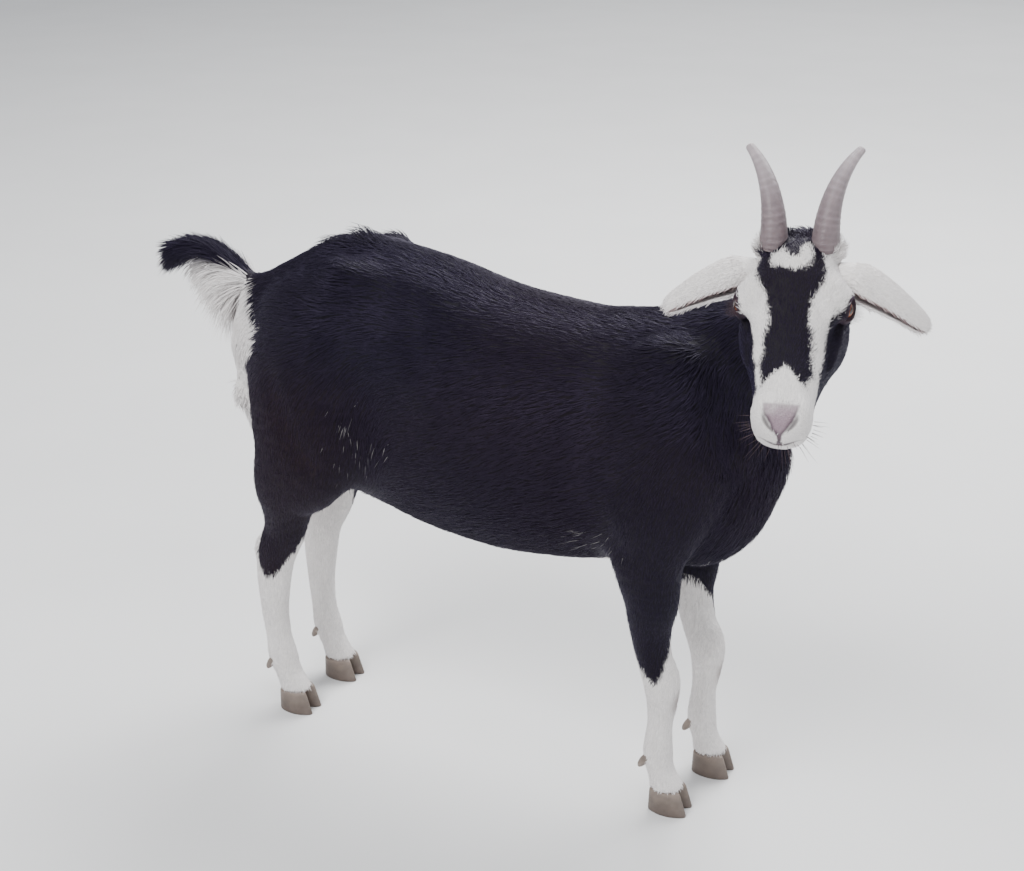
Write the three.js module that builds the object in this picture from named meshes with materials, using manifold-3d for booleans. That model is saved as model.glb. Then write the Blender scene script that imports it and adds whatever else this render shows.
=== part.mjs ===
// A life-size standing goat, a horned doe of the crossbred nubian kind, with her head turned to her right.
// Millimetres. +X runs along the back towards the chest, +Y to her left, +Z up, and the ground is z = 0.
// The flesh is one smooth field of distances, built from named stations of the trunk, head, neck, legs and
// tail. Each sub-part is that field meshed inside its own region, so that the parts share one surface and
// meet at thin flat cuts. Ears, horns, eyes, lids, claws and hair locks are lofted rings.
import * as THREE from "three";
import { mergeVertices } from "three/addons/utils/BufferGeometryUtils.js";
import Module from "manifold-3d";

const wasm = await Module();
wasm.setup();

// Driving dimensions.
const GAP = 0.3;
const CORONET_HEIGHT = 34;
const HEAD_PITCH = THREE.MathUtils.degToRad(30);
const HEAD_TURN = THREE.MathUtils.degToRad(-78);
const HEAD_ROLL = THREE.MathUtils.degToRad(1.6);
const HEAD_ORIGIN = [442, -102, 824];
const HEAD_POWER = 2.35;
const EYE = { x: 96, y: 50, z: 8, radius: 13.5, length: 27, height: 16 };
const LID_THICKNESS = 3;
const HORN = { x: 26, y: 28, z: 32, length: 118, wide: 14, deep: 17, tip: 0.26, rings: 10, sides: 9 };
const EAR = { x: 44, y: 42, z: 15, length: 138, half: 28, thickness: 4.4 };
const CLAW = { half_length: 28, half_width: 11.4, apart: 12.6, lean: 5 };
const DEWCLAW = { height: 80, apart: 11, radius: 6.5, length: 18 };

// Trunk stations along the back: x, height of the topline, of the underline, half width, height of the
// widest point.
const TRUNK = [
  [-398, 540, 500, 10, 520],
  [-388, 605, 440, 40, 530],
  [-350, 660, 405, 66, 560],
  [-290, 700, 385, 82, 580],
  [-220, 734, 372, 92, 590],
  [-150, 738, 356, 98, 560],
  [-60, 724, 338, 112, 520],
  [40, 699, 330, 119, 500],
  [130, 689, 335, 113, 500],
  [210, 687, 346, 100, 505],
  [280, 684, 352, 86, 510],
  [340, 664, 366, 72, 515],
  [385, 610, 410, 54, 520],
  [410, 562, 470, 28, 522],
  [420, 532, 508, 8, 520],
];

// Neck joints: centre, half depth in the plane of the neck, half width across it.
const NECK = [
  [250, 0, 596, 88, 68],
  [328, 0, 638, 78, 60],
  [388, -8, 684, 61, 50],
  [425, -34, 738, 54, 44],
  [438, -74, 792, 50, 42],
];

// Head stations along the face in the head's own frame: x from the back of the skull, then as the trunk.
const HEAD = [
  [-6, 12, -24, 18, -2],
  [6, 32, -48, 36, 0],
  [28, 43, -62, 44, 0],
  [55, 48, -72, 50, 0],
  [82, 46, -78, 55, -4],
  [108, 38, -76, 54, -14],
  [140, 28, -70, 49, -24],
  [172, 20, -60, 39, -22],
  [205, 16, -52, 33, -18],
  [228, 13, -52, 34, -17],
  [243, 6, -48, 30, -19],
  [252, -4, -38, 20, -20],
  [257, -14, -26, 7, -20],
];

// Legs: the joints of one leg seen from the side, y being the distance from the mid plane.
const FORELEG = [
  [318, 70, 540, 56, 36],
  [285, 80, 460, 60, 34],
  [266, 78, 395, 52, 31],
  [274, 70, 328, 39, 27],
  [275, 64, 283, 30, 23],
  [283, 60, 237, 25, 22],
  [296, 57, 200, 26, 24],
  [298, 56, 165, 21.5, 20],
  [296, 55, 130, 18, 17],
  [295, 55, 86, 21, 21],
  [301, 55, 56, 19, 21],
  [311, 55, 26, 25, 23],
];
const HINDLEG = [
  [-215, 62, 600, 92, 44],
  [-239, 72, 505, 91, 42],
  [-249, 78, 435, 79, 38],
  [-279, 74, 384, 55, 33],
  [-286, 68, 345, 41, 27],
  [-294, 62, 305, 34, 22],
  [-312, 58, 262, 31, 21],
  [-319, 57, 219, 28, 19],
  [-321, 56, 165, 22.5, 17.5],
  [-318, 55, 120, 20.5, 17],
  [-313, 55, 86, 23, 20],
  [-303, 55, 56, 20, 20],
  [-291, 55, 26, 25, 22],
];
const STRIDE = { foreleg_right: -12, foreleg_left: 13, hindleg_right: -6, hindleg_left: 6 };

const STRIDE_TOP = 400;
const STRIDE_FULL = 200;

// Tail joints: centre, half depth, half width of the dock under its hair.
const TAIL = [
  [-345, 0, 636, 24, 22],
  [-374, 0, 648, 20, 19],
  [-400, 0, 666, 17, 17],
  [-426, 0, 682, 15, 15],
  [-455, 0, 688, 13, 13],
  [-484, 0, 684, 10, 10],
];

// Its hair: rings of flat locks along the dock, short on top and long and hanging below, and a tuft at its end.
const TAIL_HAIR = { rings: 5, around: 6, tuft: 6, width: 9.5, flat: 0.45, over: 42, under: 50, skirt: 92, end: 46, seed: 11 };

// Interpolates rows of numbers with a Catmull-Rom curve, steps rows between each pair.
function smoothRows(rows, steps) {
  const made = [];
  for (let i = 0; i < rows.length - 1; i++) {
    const [a, b, c, d] = [-1, 0, 1, 2].map((o) => rows[Math.min(Math.max(i + o, 0), rows.length - 1)]);
    for (let s = 0; s < steps; s++) {
      const t = s / steps;
      const mix = (k) =>
        b[k] +
        0.5 * t * (c[k] - a[k] + t * (2 * a[k] - 5 * b[k] + 4 * c[k] - d[k] + t * (3 * (b[k] - c[k]) + d[k] - a[k])));
      made.push(b.map((_, k) => mix(k)));
    }
  }
  made.push(rows.at(-1));
  return made;
}

// Joins two distances with a fillet of reach k.
function blend(a, b, k) {
  const h = Math.max(k - Math.abs(a - b), 0) / k;
  return Math.min(a, b) - (h * h * k) / 4;
}

// Distance along the ray from an oval's centre to its outline.
function ovalDistance(u, v, halfU, halfV, power = 2) {
  const length = Math.hypot(u, v);
  if (length < 1e-6) return -Math.min(halfU, halfV);
  const rho = (Math.abs(u / halfU) ** power + Math.abs(v / halfV) ** power) ** (1 / power);
  return length * (1 - 1 / rho);
}

// A body lofted along x through stations, in the frame that place() gives.
function hull(stations, place = (p) => p, power = 2.25) {
  const rows = smoothRows(stations, 6);
  return (p) => {
    const [x, y, z] = place(p);
    const along = Math.min(Math.max(x, rows[0][0]), rows.at(-1)[0]);
    let i = 1;
    while (i < rows.length - 1 && rows[i][0] < along) i++;
    const t = (along - rows[i - 1][0]) / (rows[i][0] - rows[i - 1][0]);
    const [top, bottom, half, waist] = [1, 2, 3, 4].map((k) => rows[i - 1][k] * (1 - t) + rows[i][k] * t);
    const tall = z > waist ? top - waist : waist - bottom;
    const d = ovalDistance(y, z - waist, Math.max(half, 1), Math.max(tall, 1), power);
    return x === along ? d : Math.hypot(Math.max(d, 0), x - along);
  };
}

// A limb through joints of centre, half depth and half width. across is the way its width runs.
function limb(joints, across = () => [0, 1, 0]) {
  const rows = smoothRows(joints, 5);
  const pieces = rows.slice(1).map((b, i) => {
    const a = rows[i];
    const e = [b[0] - a[0], b[1] - a[1], b[2] - a[2]];
    return { a, b, e, side: across(e), square: e[0] * e[0] + e[1] * e[1] + e[2] * e[2] };
  });
  return (p) => {
    let best = Infinity;
    let deep = 0;
    let wide = 0;
    let halfDeep = 1;
    let halfWide = 1;
    for (const { a, b, e, side, square } of pieces) {
      const f0 = p[0] - a[0];
      const f1 = p[1] - a[1];
      const f2 = p[2] - a[2];
      const t = Math.min(Math.max((e[0] * f0 + e[1] * f1 + e[2] * f2) / square, 0), 1);
      const q0 = f0 - t * e[0];
      const q1 = f1 - t * e[1];
      const q2 = f2 - t * e[2];
      const far = Math.sqrt(q0 * q0 + q1 * q1 + q2 * q2) - (a[3] + t * (b[3] - a[3]));
      if (far >= best) continue;
      best = far;
      wide = q0 * side[0] + q1 * side[1] + q2 * side[2];
      deep = Math.sqrt(Math.max(q0 * q0 + q1 * q1 + q2 * q2 - wide * wide, 0));
      halfDeep = a[3] + t * (b[3] - a[3]);
      halfWide = a[4] + t * (b[4] - a[4]);
    }
    return ovalDistance(deep, wide, halfDeep, halfWide);
  };
}

// An ellipsoid of half sizes r about c, in the frame that place() gives.
function mound(c, r, place = (p) => p) {
  return (p) => {
    const q = place(p).map((v, k) => v - c[k]);
    const length = Math.hypot(...q);
    const rho = Math.hypot(q[0] / r[0], q[1] / r[1], q[2] / r[2]);
    return rho < 1e-6 ? -Math.min(...r) : length * (1 - 1 / rho);
  };
}

// A shape that answers only near its box, given by its lowest and highest corners.
const FAR = 200;
function near(shape, low, high) {
  return (p) => (p.every((v, k) => v > low[k] && v < high[k]) ? shape(p) : FAR);
}

// The box round joints or stations' centres, margin wider on every side.
function boxOf(rows, margin) {
  const axis = [0, 1, 2];
  return [
    axis.map((k) => Math.min(...rows.map((r) => r[k])) - margin),
    axis.map((k) => Math.max(...rows.map((r) => r[k])) + margin),
  ];
}

// The head's own frame: x along the face towards the nose, y to her left, z out of the forehead.
const headMatrix = new THREE.Matrix4()
  .makeTranslation(...HEAD_ORIGIN)
  .multiply(new THREE.Matrix4().makeRotationZ(HEAD_TURN))
  .multiply(new THREE.Matrix4().makeRotationY(HEAD_PITCH))
  .multiply(new THREE.Matrix4().makeRotationX(HEAD_ROLL));
const headInverse = headMatrix.clone().invert();
const toHead = (p) => new THREE.Vector3(...p).applyMatrix4(headInverse).toArray();
const fromHead = (p) => new THREE.Vector3(...p).applyMatrix4(headMatrix).toArray();

// A leg's joints on one side, carried fore or aft by the stride below the elbow or stifle.
function legJoints(joints, side, stride) {
  const carried = (z) => stride * THREE.MathUtils.clamp((STRIDE_TOP - z) / (STRIDE_TOP - STRIDE_FULL), 0, 1);
  return joints.map(([x, y, z, deep, wide]) => [x + carried(z), side * y, z, deep, wide]);
}
const LEGS = [
  ["foreleg_right", FORELEG, -1],
  ["foreleg_left", FORELEG, 1],
  ["hindleg_right", HINDLEG, -1],
  ["hindleg_left", HINDLEG, 1],
].map(([name, joints, side]) => ({ name, side, fore: joints === FORELEG, joints: legJoints(joints, side, STRIDE[name]) }));

const acrossNeck = (e) => {
  const flat = Math.hypot(e[0], e[1]) || 1;
  return [-e[1] / flat, e[0] / flat, 0];
};

// The flesh: each entry is a distance and the reach of its fillet.
const REACH = 150;
const FLESH = [
  [hull(TRUNK), 1],
  [near(limb(NECK, acrossNeck), ...boxOf(NECK, REACH)), 46],
  [near(hull(HEAD, toHead, HEAD_POWER), ...boxOf([[0, 0, 0], [255, 0, 0]].map(fromHead), REACH)), 26],
  [near(limb(TAIL), ...boxOf(TAIL, REACH)), 30],
];
for (const leg of LEGS)
  FLESH.push([near(limb(leg.joints), ...boxOf(leg.joints, REACH)), leg.fore ? 34 : 44]);
for (const side of [-1, 1])
  FLESH.push(
    [mound([278, side * 66, 585], [70, 34, 96]), 40],
    [mound([-168, side * 66, 694], [36, 20, 22]), 44],
    [mound([-338, side * 57, 264], [12, 11, 17]), 14],
  );
// Cheeks, rims of the eye sockets, nostril wings and chin, in the head's frame.
for (const side of [-1, 1])
  FLESH.push(
    [mound([88, side * 38, -42], [46, 21, 30], toHead), 18],
    [mound([EYE.x - 3, side * 46, EYE.z + 5], [27, 20, 20], toHead), 14],
    [mound([232, side * 17, -3], [13, 12, 13], toHead), 12],
  );
FLESH.push([mound([226, 0, -40], [20, 18, 12], toHead), 10]);

// Hollows carved from it: the flanks, and the face below each eye.
const HOLLOWS = [-1, 1].flatMap((side) => [
  [mound([-150, side * 142, 560], [60, 34, 90]), 60],
  [mound([EYE.x + 46, side * 52, 8], [26, 9, 12], toHead), 18],
]);

function fleshAt(p) {
  let d = FLESH[0][0](p);
  for (let i = 1; i < FLESH.length; i++) d = blend(d, FLESH[i][0](p), FLESH[i][1]);
  for (const [hollow, k] of HOLLOWS) d = -blend(-d, hollow(p), k);
  return d;
}

// Where flesh meets itself only across the corner of a grid square, the square is filled, so that no edge
// of the mesh is shared by two folds.
function closeFolds(value, size, at) {
  const steps = [at(1, 0, 0), at(0, 1, 0), at(0, 0, 1)];
  const filled = -1e-3;
  let changed = true;
  while (changed) {
    changed = false;
    for (let i = 0; i < size[0]; i++)
      for (let j = 0; j < size[1]; j++)
        for (let k = 0; k < size[2]; k++)
          for (const [u, v] of [[0, 1], [0, 2], [1, 2]]) {
            const cell = [i, j, k];
            if (cell[u] + 1 >= size[u] || cell[v] + 1 >= size[v]) continue;
            const a = at(i, j, k);
            const [b, c, d] = [a + steps[u], a + steps[v], a + steps[u] + steps[v]];
            const inside = [a, b, c, d].map((n) => value[n] <= 0);
            if (inside[0] !== inside[3] || inside[1] !== inside[2] || inside[0] === inside[1]) continue;
            value[inside[0] ? (value[b] < value[c] ? b : c) : value[a] < value[d] ? a : d] = filled;
            changed = true;
          }
  }
}

// Surface nets: one vertex in each cell that the surface crosses, one pair of triangles across each edge.
function meshField(field, low, high, cell, turn = null) {
  const place = turn ? (p) => new THREE.Vector3(...p).applyMatrix4(turn).toArray() : (p) => p;
  const count = low.map((v, k) => Math.max(2, Math.ceil((high[k] - v) / cell[k])));
  const size = count.map((n) => n + 1);
  const at = (i, j, k) => (i * size[1] + j) * size[2] + k;
  const point = (i, j, k) => [low[0] + i * cell[0], low[1] + j * cell[1], low[2] + k * cell[2]];
  const value = new Float64Array(size[0] * size[1] * size[2]);
  for (let i = 0; i < size[0]; i++)
    for (let j = 0; j < size[1]; j++)
      for (let k = 0; k < size[2]; k++) {
        const rim = [i, j, k].some((n, axis) => n === 0 || n === count[axis]);
        const d = field(place(point(i, j, k)));
        value[at(i, j, k)] = rim ? Math.max(d, 0.5) : d;
      }
  closeFolds(value, size, at);
  const positions = [];
  const vertexOf = new Map();
  const corners = [0, 1, 2, 3, 4, 5, 6, 7].map((n) => [n & 1, (n >> 1) & 1, n >> 2]);
  for (let i = 0; i < count[0]; i++)
    for (let j = 0; j < count[1]; j++)
      for (let k = 0; k < count[2]; k++) {
        const v = corners.map(([a, b, c]) => value[at(i + a, j + b, k + c)]);
        if (v.every((d) => d > 0) || v.every((d) => d <= 0)) continue;
        const sum = [0, 0, 0];
        let crossings = 0;
        for (let a = 0; a < 8; a++)
          for (const bit of [1, 2, 4]) {
            const b = a | bit;
            if (a & bit || v[a] > 0 === v[b] > 0) continue;
            const t = v[a] / (v[a] - v[b]);
            corners[a].forEach((n, axis) => (sum[axis] += n + t * (corners[b][axis] - n)));
            crossings++;
          }
        const cellPoint = sum.map((s, axis) => low[axis] + ([i, j, k][axis] + s / crossings) * cell[axis]);
        vertexOf.set(at(i, j, k), positions.length / 3);
        positions.push(...settle(field, place(cellPoint), Math.min(...cell) * 0.45));
      }
  const index = [];
  const quad = (flip, ...cells) => {
    const [a, b, c, d] = cells.map(([i, j, k]) => vertexOf.get(at(i, j, k)));
    index.push(...(flip ? [a, b, c, a, c, d] : [a, c, b, a, d, c]));
  };
  for (let i = 0; i < count[0]; i++)
    for (let j = 0; j < count[1]; j++)
      for (let k = 0; k < count[2]; k++) {
        const here = value[at(i, j, k)] <= 0;
        if (j && k && here !== value[at(i + 1, j, k)] <= 0)
          quad(here, [i, j - 1, k - 1], [i, j, k - 1], [i, j, k], [i, j - 1, k]);
        if (i && k && here !== value[at(i, j + 1, k)] <= 0)
          quad(!here, [i - 1, j, k - 1], [i, j, k - 1], [i, j, k], [i - 1, j, k]);
        if (i && j && here !== value[at(i, j, k + 1)] <= 0)
          quad(here, [i - 1, j - 1, k], [i, j - 1, k], [i, j, k], [i - 1, j, k]);
      }
  return new THREE.BufferGeometry()
    .setAttribute("position", new THREE.Float32BufferAttribute(positions, 3))
    .setIndex(index);
}

// Moves a point onto the surface by at most reach.
function settle(field, p, reach) {
  const e = 0.5;
  const start = p;
  for (let n = 0; n < 3; n++) {
    const d = field(p);
    if (Math.abs(d) > reach * 2) return p;
    const g = [0, 1, 2].map((k) => {
      const q = [...p];
      q[k] += e;
      return (field(q) - d) / e;
    });
    const steep = Math.max(g[0] ** 2 + g[1] ** 2 + g[2] ** 2, 0.2);
    p = p.map((v, k) => v - (d * g[k]) / steep);
  }
  const moved = Math.hypot(...p.map((v, k) => v - start[k]));
  return moved > reach ? start : p;
}

// A THREE geometry as a manifold solid with its faces pointing out, and back.
function solid(geometry) {
  const bare = geometry.clone();
  bare.deleteAttribute("normal");
  bare.deleteAttribute("uv");
  const merged = mergeVertices(bare, 1e-4);
  const vertProperties = merged.attributes.position.array;
  const made = (triVerts) => new wasm.Manifold(new wasm.Mesh({ numProp: 3, vertProperties, triVerts }));
  const whole = made(new Uint32Array(merged.index.array));
  return whole.volume() < 0 ? made(new Uint32Array(merged.index.array).reverse()) : whole;
}
function geometryOf(manifold) {
  const mesh = manifold.getMesh();
  return new THREE.BufferGeometry()
    .setAttribute("position", new THREE.BufferAttribute(new Float32Array(mesh.vertProperties), 3))
    .setIndex(new THREE.BufferAttribute(new Uint32Array(mesh.triVerts), 1));
}
const largest = (manifold) => manifold.decompose().sort((a, b) => b.volume() - a.volume())[0];

// Rings of points stitched into one closed body, each end closed by a fan about its centre.
function loft(rings) {
  const n = rings[0].length;
  const positions = rings.flat(2);
  const index = [];
  for (let r = 0; r < rings.length - 1; r++)
    for (let i = 0; i < n; i++) {
      const [a, b] = [r * n + i, r * n + ((i + 1) % n)];
      index.push(a, b, b + n, a, b + n, a + n);
    }
  for (const [ring, first] of [
    [rings[0], true],
    [rings.at(-1), false],
  ]) {
    const centre = [0, 1, 2].map((k) => ring.reduce((s, q) => s + q[k], 0) / n);
    const hub = positions.length / 3;
    positions.push(...centre);
    const start = first ? 0 : (rings.length - 1) * n;
    for (let i = 0; i < n; i++) {
      const [a, b] = [start + i, start + ((i + 1) % n)];
      index.push(...(first ? [hub, b, a] : [hub, a, b]));
    }
  }
  return new THREE.BufferGeometry()
    .setAttribute("position", new THREE.Float32BufferAttribute(positions, 3))
    .setIndex(index);
}

// A ring of n points on an oval about centre, spanned by two directions.
function ovalRing(centre, u, v, n) {
  return Array.from({ length: n }, (_, i) => {
    const a = (2 * Math.PI * i) / n;
    return [0, 1, 2].map((k) => centre[k] + Math.cos(a) * u[k] + Math.sin(a) * v[k]);
  });
}

// The solid on the lower side of a plane, for parting one node from another.
const VAST = 2400;
function below(point, normal, shift = 0) {
  const n = new THREE.Vector3(...normal).normalize();
  const turn = new THREE.Quaternion().setFromUnitVectors(new THREE.Vector3(0, 0, 1), n);
  const centre = new THREE.Vector3(...point).addScaledVector(n, shift - VAST / 2);
  const box = new THREE.BoxGeometry(VAST, VAST, VAST);
  return solid(box.applyMatrix4(new THREE.Matrix4().compose(centre, turn, new THREE.Vector3(1, 1, 1))));
}

// An upright block, less what lies above the given planes. grown widens it all round.
function block(low, high, planes = [], grown = 0) {
  const size = low.map((v, k) => high[k] - v + 2 * grown);
  const box = new THREE.BoxGeometry(...size);
  box.translate(...low.map((v, k) => (v + high[k]) / 2));
  return planes.reduce((made, [point, normal]) => made.intersect(below(point, normal, grown)), solid(box));
}

// Meshes a field as a solid. A grid that meets a fold badly is moved by a fraction of a cell and tried again.
function flesh(low, high, cell, { turn = null, grown = 0 } = {}) {
  const field = (p) => fleshAt(p) - grown;
  for (let tries = 0; tries < 8; tries++) {
    const from = low.map((v, k) => v - cell[k] * 0.13 * tries);
    try {
      return solid(meshField(field, from, high, cell, turn));
    } catch (error) {
      if (!String(error).includes("anifold")) throw error;
    }
  }
  throw new Error("no grid meshed the field from " + low);
}

const root = new THREE.Group();
const MATERIALS = {
  coat: new THREE.MeshStandardMaterial({ color: 0x1d1a20, roughness: 0.62, metalness: 0 }),
  horn: new THREE.MeshStandardMaterial({ color: 0x8d8079, roughness: 0.5, metalness: 0 }),
  eye: new THREE.MeshStandardMaterial({ color: 0x8a4a20, roughness: 0.1, metalness: 0 }),
  claw: new THREE.MeshStandardMaterial({ color: 0x4a4038, roughness: 0.55, metalness: 0 }),
};
function add(name, manifold, material) {
  const mesh = new THREE.Mesh(geometryOf(largest(manifold)), MATERIALS[material]);
  mesh.name = name;
  root.add(mesh);
}

// Cuts: the plane that parts the neck from the trunk, and the head from the neck.
const NECK_CUT = [[345, 0, 622], [0.74, 0, 0.67]];
const headAlong = (x, z) => {
  const from = fromHead([0, 0, 0]);
  return fromHead([x, 0, z]).map((v, k) => v - from[k]);
};
const THROAT_CUT = [fromHead([12, 0, -35]), headAlong(0.79, 0.61)];
const TAIL_CUT = [[-368, 0, 668], [-0.92, 0, 0.38]];
const LEG_REGIONS = Object.fromEntries(
  LEGS.map(({ name, side, fore }) => {
    const ys = fore ? [14, 170] : [GAP / 2, 170];
    const [y0, y1] = side > 0 ? ys : [-ys[1], -ys[0]];
    const x = fore ? [190, 400] : [-440, -60];
    const plane = fore
      ? [[262, side * 80, 403], [-0.3, -side, 1]]
      : [[-215, side * 60, 412], [0.6, -0.5 * side, 0.65]];
    return [name, { low: [x[0], y0, -10], high: [x[1], y1, 700], planes: [plane] }];
  }),
);
const regionOf = (name, grown = 0) => {
  const { low, high, planes } = LEG_REGIONS[name];
  return block(low, high, planes, grown);
};

// Shapes made of rings: a tapered tube through points, flattened across the way up points.
function tube(points, radii, sides, { flat = 1, up = [0, 0, 1] } = {}) {
  const last = points.length - 1;
  return loft(
    points.map((p, i) => {
      const before = new THREE.Vector3(...points[Math.max(i - 1, 0)]);
      const along = new THREE.Vector3(...points[Math.min(i + 1, last)]).sub(before).normalize();
      const side = new THREE.Vector3().crossVectors(along, new THREE.Vector3(...up)).normalize();
      const rise = new THREE.Vector3().crossVectors(side, along);
      const u = side.multiplyScalar(radii[i]).toArray();
      return ovalRing(p, u, rise.multiplyScalar(radii[i] * flat).toArray(), sides);
    }),
  );
}
const spread = (count, make) => Array.from({ length: count }, (_, i) => make(i / (count - 1)));
const mix = (a, b, t) => a + (b - a) * t;

// Where a line in the head's frame, followed from outside, first meets the flesh.
function meet(from, to) {
  const pointAt = (t) => from.map((v, k) => mix(v, to[k], t));
  let [outside, inside] = [0, 1];
  for (let n = 0; n < 16; n++) {
    const t = (outside + inside) / 2;
    if (fleshAt(fromHead(pointAt(t))) > 0) outside = t;
    else inside = t;
  }
  return pointAt(inside);
}

// The mouth: a groove round the muzzle, swung about a point inside it.
function mouthGroove() {
  const [hub, reach, corner] = [212, 70, THREE.MathUtils.degToRad(118)];
  const points = spread(17, (t) => {
    const swing = (2 * t - 1) * corner;
    const z = -33 - 7 * Math.abs(2 * t - 1) ** 1.5;
    return meet([hub + reach * Math.cos(swing), reach * Math.sin(swing), z], [hub, 0, z]);
  });
  const radii = spread(17, (t) => mix(0.5, 1.9, Math.sin(Math.PI * t) ** 0.5));
  return solid(tube(points.map(fromHead), radii, 6, { up: headAlong(0, 1) }));
}

// A nostril: a slit that curls from the side of the nose down towards the lip.
function nostril(side) {
  const slit = [
    [20, 3],
    [18, -3],
    [13, -10],
    [8, -16],
  ];
  const points = slit.map(([y, z]) => meet([290, side * y, z], [200, side * y, z]));
  return solid(tube(points.map(fromHead), [2.2, 3.6, 3, 1], 6, { up: headAlong(1, 0) }));
}

// The groove down the middle of the nose pad.
function lipGroove() {
  const points = [-14, -20, -27, -33].map((z) => meet([290, 0, z], [200, 0, z]));
  return solid(tube(points.map(fromHead), [0.6, 1.2, 1.4, 1.4], 5, { up: headAlong(1, 0) }));
}

// The way each eye looks, out to its side and a little forward and up.
const eyeCentre = (side) => fromHead([EYE.x, side * EYE.y, EYE.z]);
function ball(centre, radius, detail) {
  return solid(new THREE.IcosahedronGeometry(radius, detail).translate(...centre));
}

// The opening between the lids: an almond driven out from the middle of the eye.
function lidOpening(side) {
  const [half, rise] = [EYE.length / 2, EYE.height / 2];
  const almond = new THREE.Shape();
  almond.moveTo(-half, 0);
  almond.bezierCurveTo(-half * 0.5, rise * 1.45, half * 0.5, rise * 1.25, half, -1.5);
  almond.bezierCurveTo(half * 0.5, -rise * 1.2, -half * 0.5, -rise * 1.2, -half, 0);
  const prism = new THREE.ExtrudeGeometry(almond, { depth: 40, bevelEnabled: false, curveSegments: 7 });
  const out = new THREE.Vector3(0.28, side, 0.16).normalize();
  const along = new THREE.Vector3(1, -0.28 * side, -0.22).normalize();
  const rising = new THREE.Vector3().crossVectors(out, along).multiplyScalar(side).normalize();
  const turn = new THREE.Matrix4().makeBasis(along, rising, out).setPosition(EYE.x, side * EYE.y, EYE.z);
  return solid(prism.applyMatrix4(turn).applyMatrix4(headMatrix));
}

// A horn curves back and outwards from the skull, with a keel on its front.
function horn(side) {
  let point = [HORN.x, side * HORN.y, HORN.z];
  const points = [];
  const step = HORN.length / (HORN.rings - 1);
  for (let i = 0; i < HORN.rings; i++) {
    points.push(point);
    const t = i / (HORN.rings - 1);
    const rise = THREE.MathUtils.degToRad(mix(66, 22, t));
    const splay = THREE.MathUtils.degToRad(mix(0, 44, t ** 1.3));
    const back = -Math.cos(rise) * Math.cos(splay);
    point = [point[0] + step * back, point[1] + step * side * Math.sin(splay), point[2] + step * Math.sin(rise) * Math.cos(splay)];
  }
  const radii = spread(HORN.rings, (t) => HORN.deep * mix(1, HORN.tip, t ** 1.25));
  const shape = tube(points.map(fromHead), radii, HORN.sides, { flat: HORN.deep / HORN.wide, up: headAlong(1, 0) });
  return solid(shape);
}

// An ear: a curved blade, arched over like a gutter that opens downwards, its back wall hanging lower than
// its front edge. Angles run round the arch from the front edge to the back one.
function ear(side) {
  const arch = [-58, -20, 15, 50, 88, 122, 150].map(THREE.MathUtils.degToRad);
  const rings = spread(11, (t) => {
    const half = EAR.half * Math.max(Math.sin(Math.PI * Math.min(0.16 + 0.86 * t ** 0.86, 1)), 0) ** 0.62;
    const droop = THREE.MathUtils.degToRad(mix(12, 34, t));
    const centre = [
      EAR.x + EAR.length * t * (0.22 - 0.05 * t),
      side * (EAR.y + EAR.length * t * 0.74),
      EAR.z - EAR.length * (0.1 * t + 0.3 * t * t),
    ];
    const at = (angle, radius) => {
      const [fore, up] = [Math.sin(Math.PI / 2 - angle), Math.sin(angle)];
      return [centre[0] + radius * fore * 0.62, centre[1] - side * radius * up * Math.sin(droop) * -1, centre[2] + radius * up];
    };
    const wall = Math.min(EAR.thickness, half * 0.5 + 0.6);
    const outer = arch.map((a) => at(a, half));
    const inner = [...arch].reverse().map((a) => at(a, Math.max(half - wall, 0.4)));
    return [...outer, ...inner].map(fromHead);
  });
  return solid(loft(rings));
}

// A claw: a wall of horn that leans forward, on a flat sole. side is the leg's, inner the claw's.
function claw(foot, way) {
  const levels = [0, 0.45, 1];
  const rings = levels.map((t) => {
    const long = mix(CLAW.half_length, 22, t);
    const wide = mix(CLAW.half_width, 10.6, t);
    return spread(13, (s) => {
      const a = 2 * Math.PI * s;
      const toe = Math.max(Math.cos(a), 0) ** 2;
      return [
        foot[0] + CLAW.lean * (1 - t) + long * Math.cos(a),
        foot[1] + way * CLAW.apart + wide * Math.sin(a) * (1 - 0.3 * toe),
        CORONET_HEIGHT * t,
      ];
    }).slice(0, -1);
  });
  return solid(loft(rings));
}

// A dewclaw: a short blunt cone behind the fetlock, pointing down and back.
function dewclaw(fetlock, way) {
  const points = spread(3, (t) => [
    fetlock[0] - mix(12, 12 + DEWCLAW.length * 0.75, t),
    fetlock[1] + way * DEWCLAW.apart,
    DEWCLAW.height - DEWCLAW.length * t ** 1.4,
  ]);
  return solid(tube(points, [DEWCLAW.radius, DEWCLAW.radius * 0.95, 3], 6));
}

// Repeatable draws between 0 and 1.
function drawsFrom(seed) {
  let state = seed;
  return () => {
    state = (state + 0x6d2b79f5) | 0;
    let t = Math.imul(state ^ (state >>> 15), 1 | state);
    t = (t + Math.imul(t ^ (t >>> 7), 61 | t)) ^ t;
    return ((t ^ (t >>> 14)) >>> 0) / 2 ** 32;
  };
}

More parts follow.
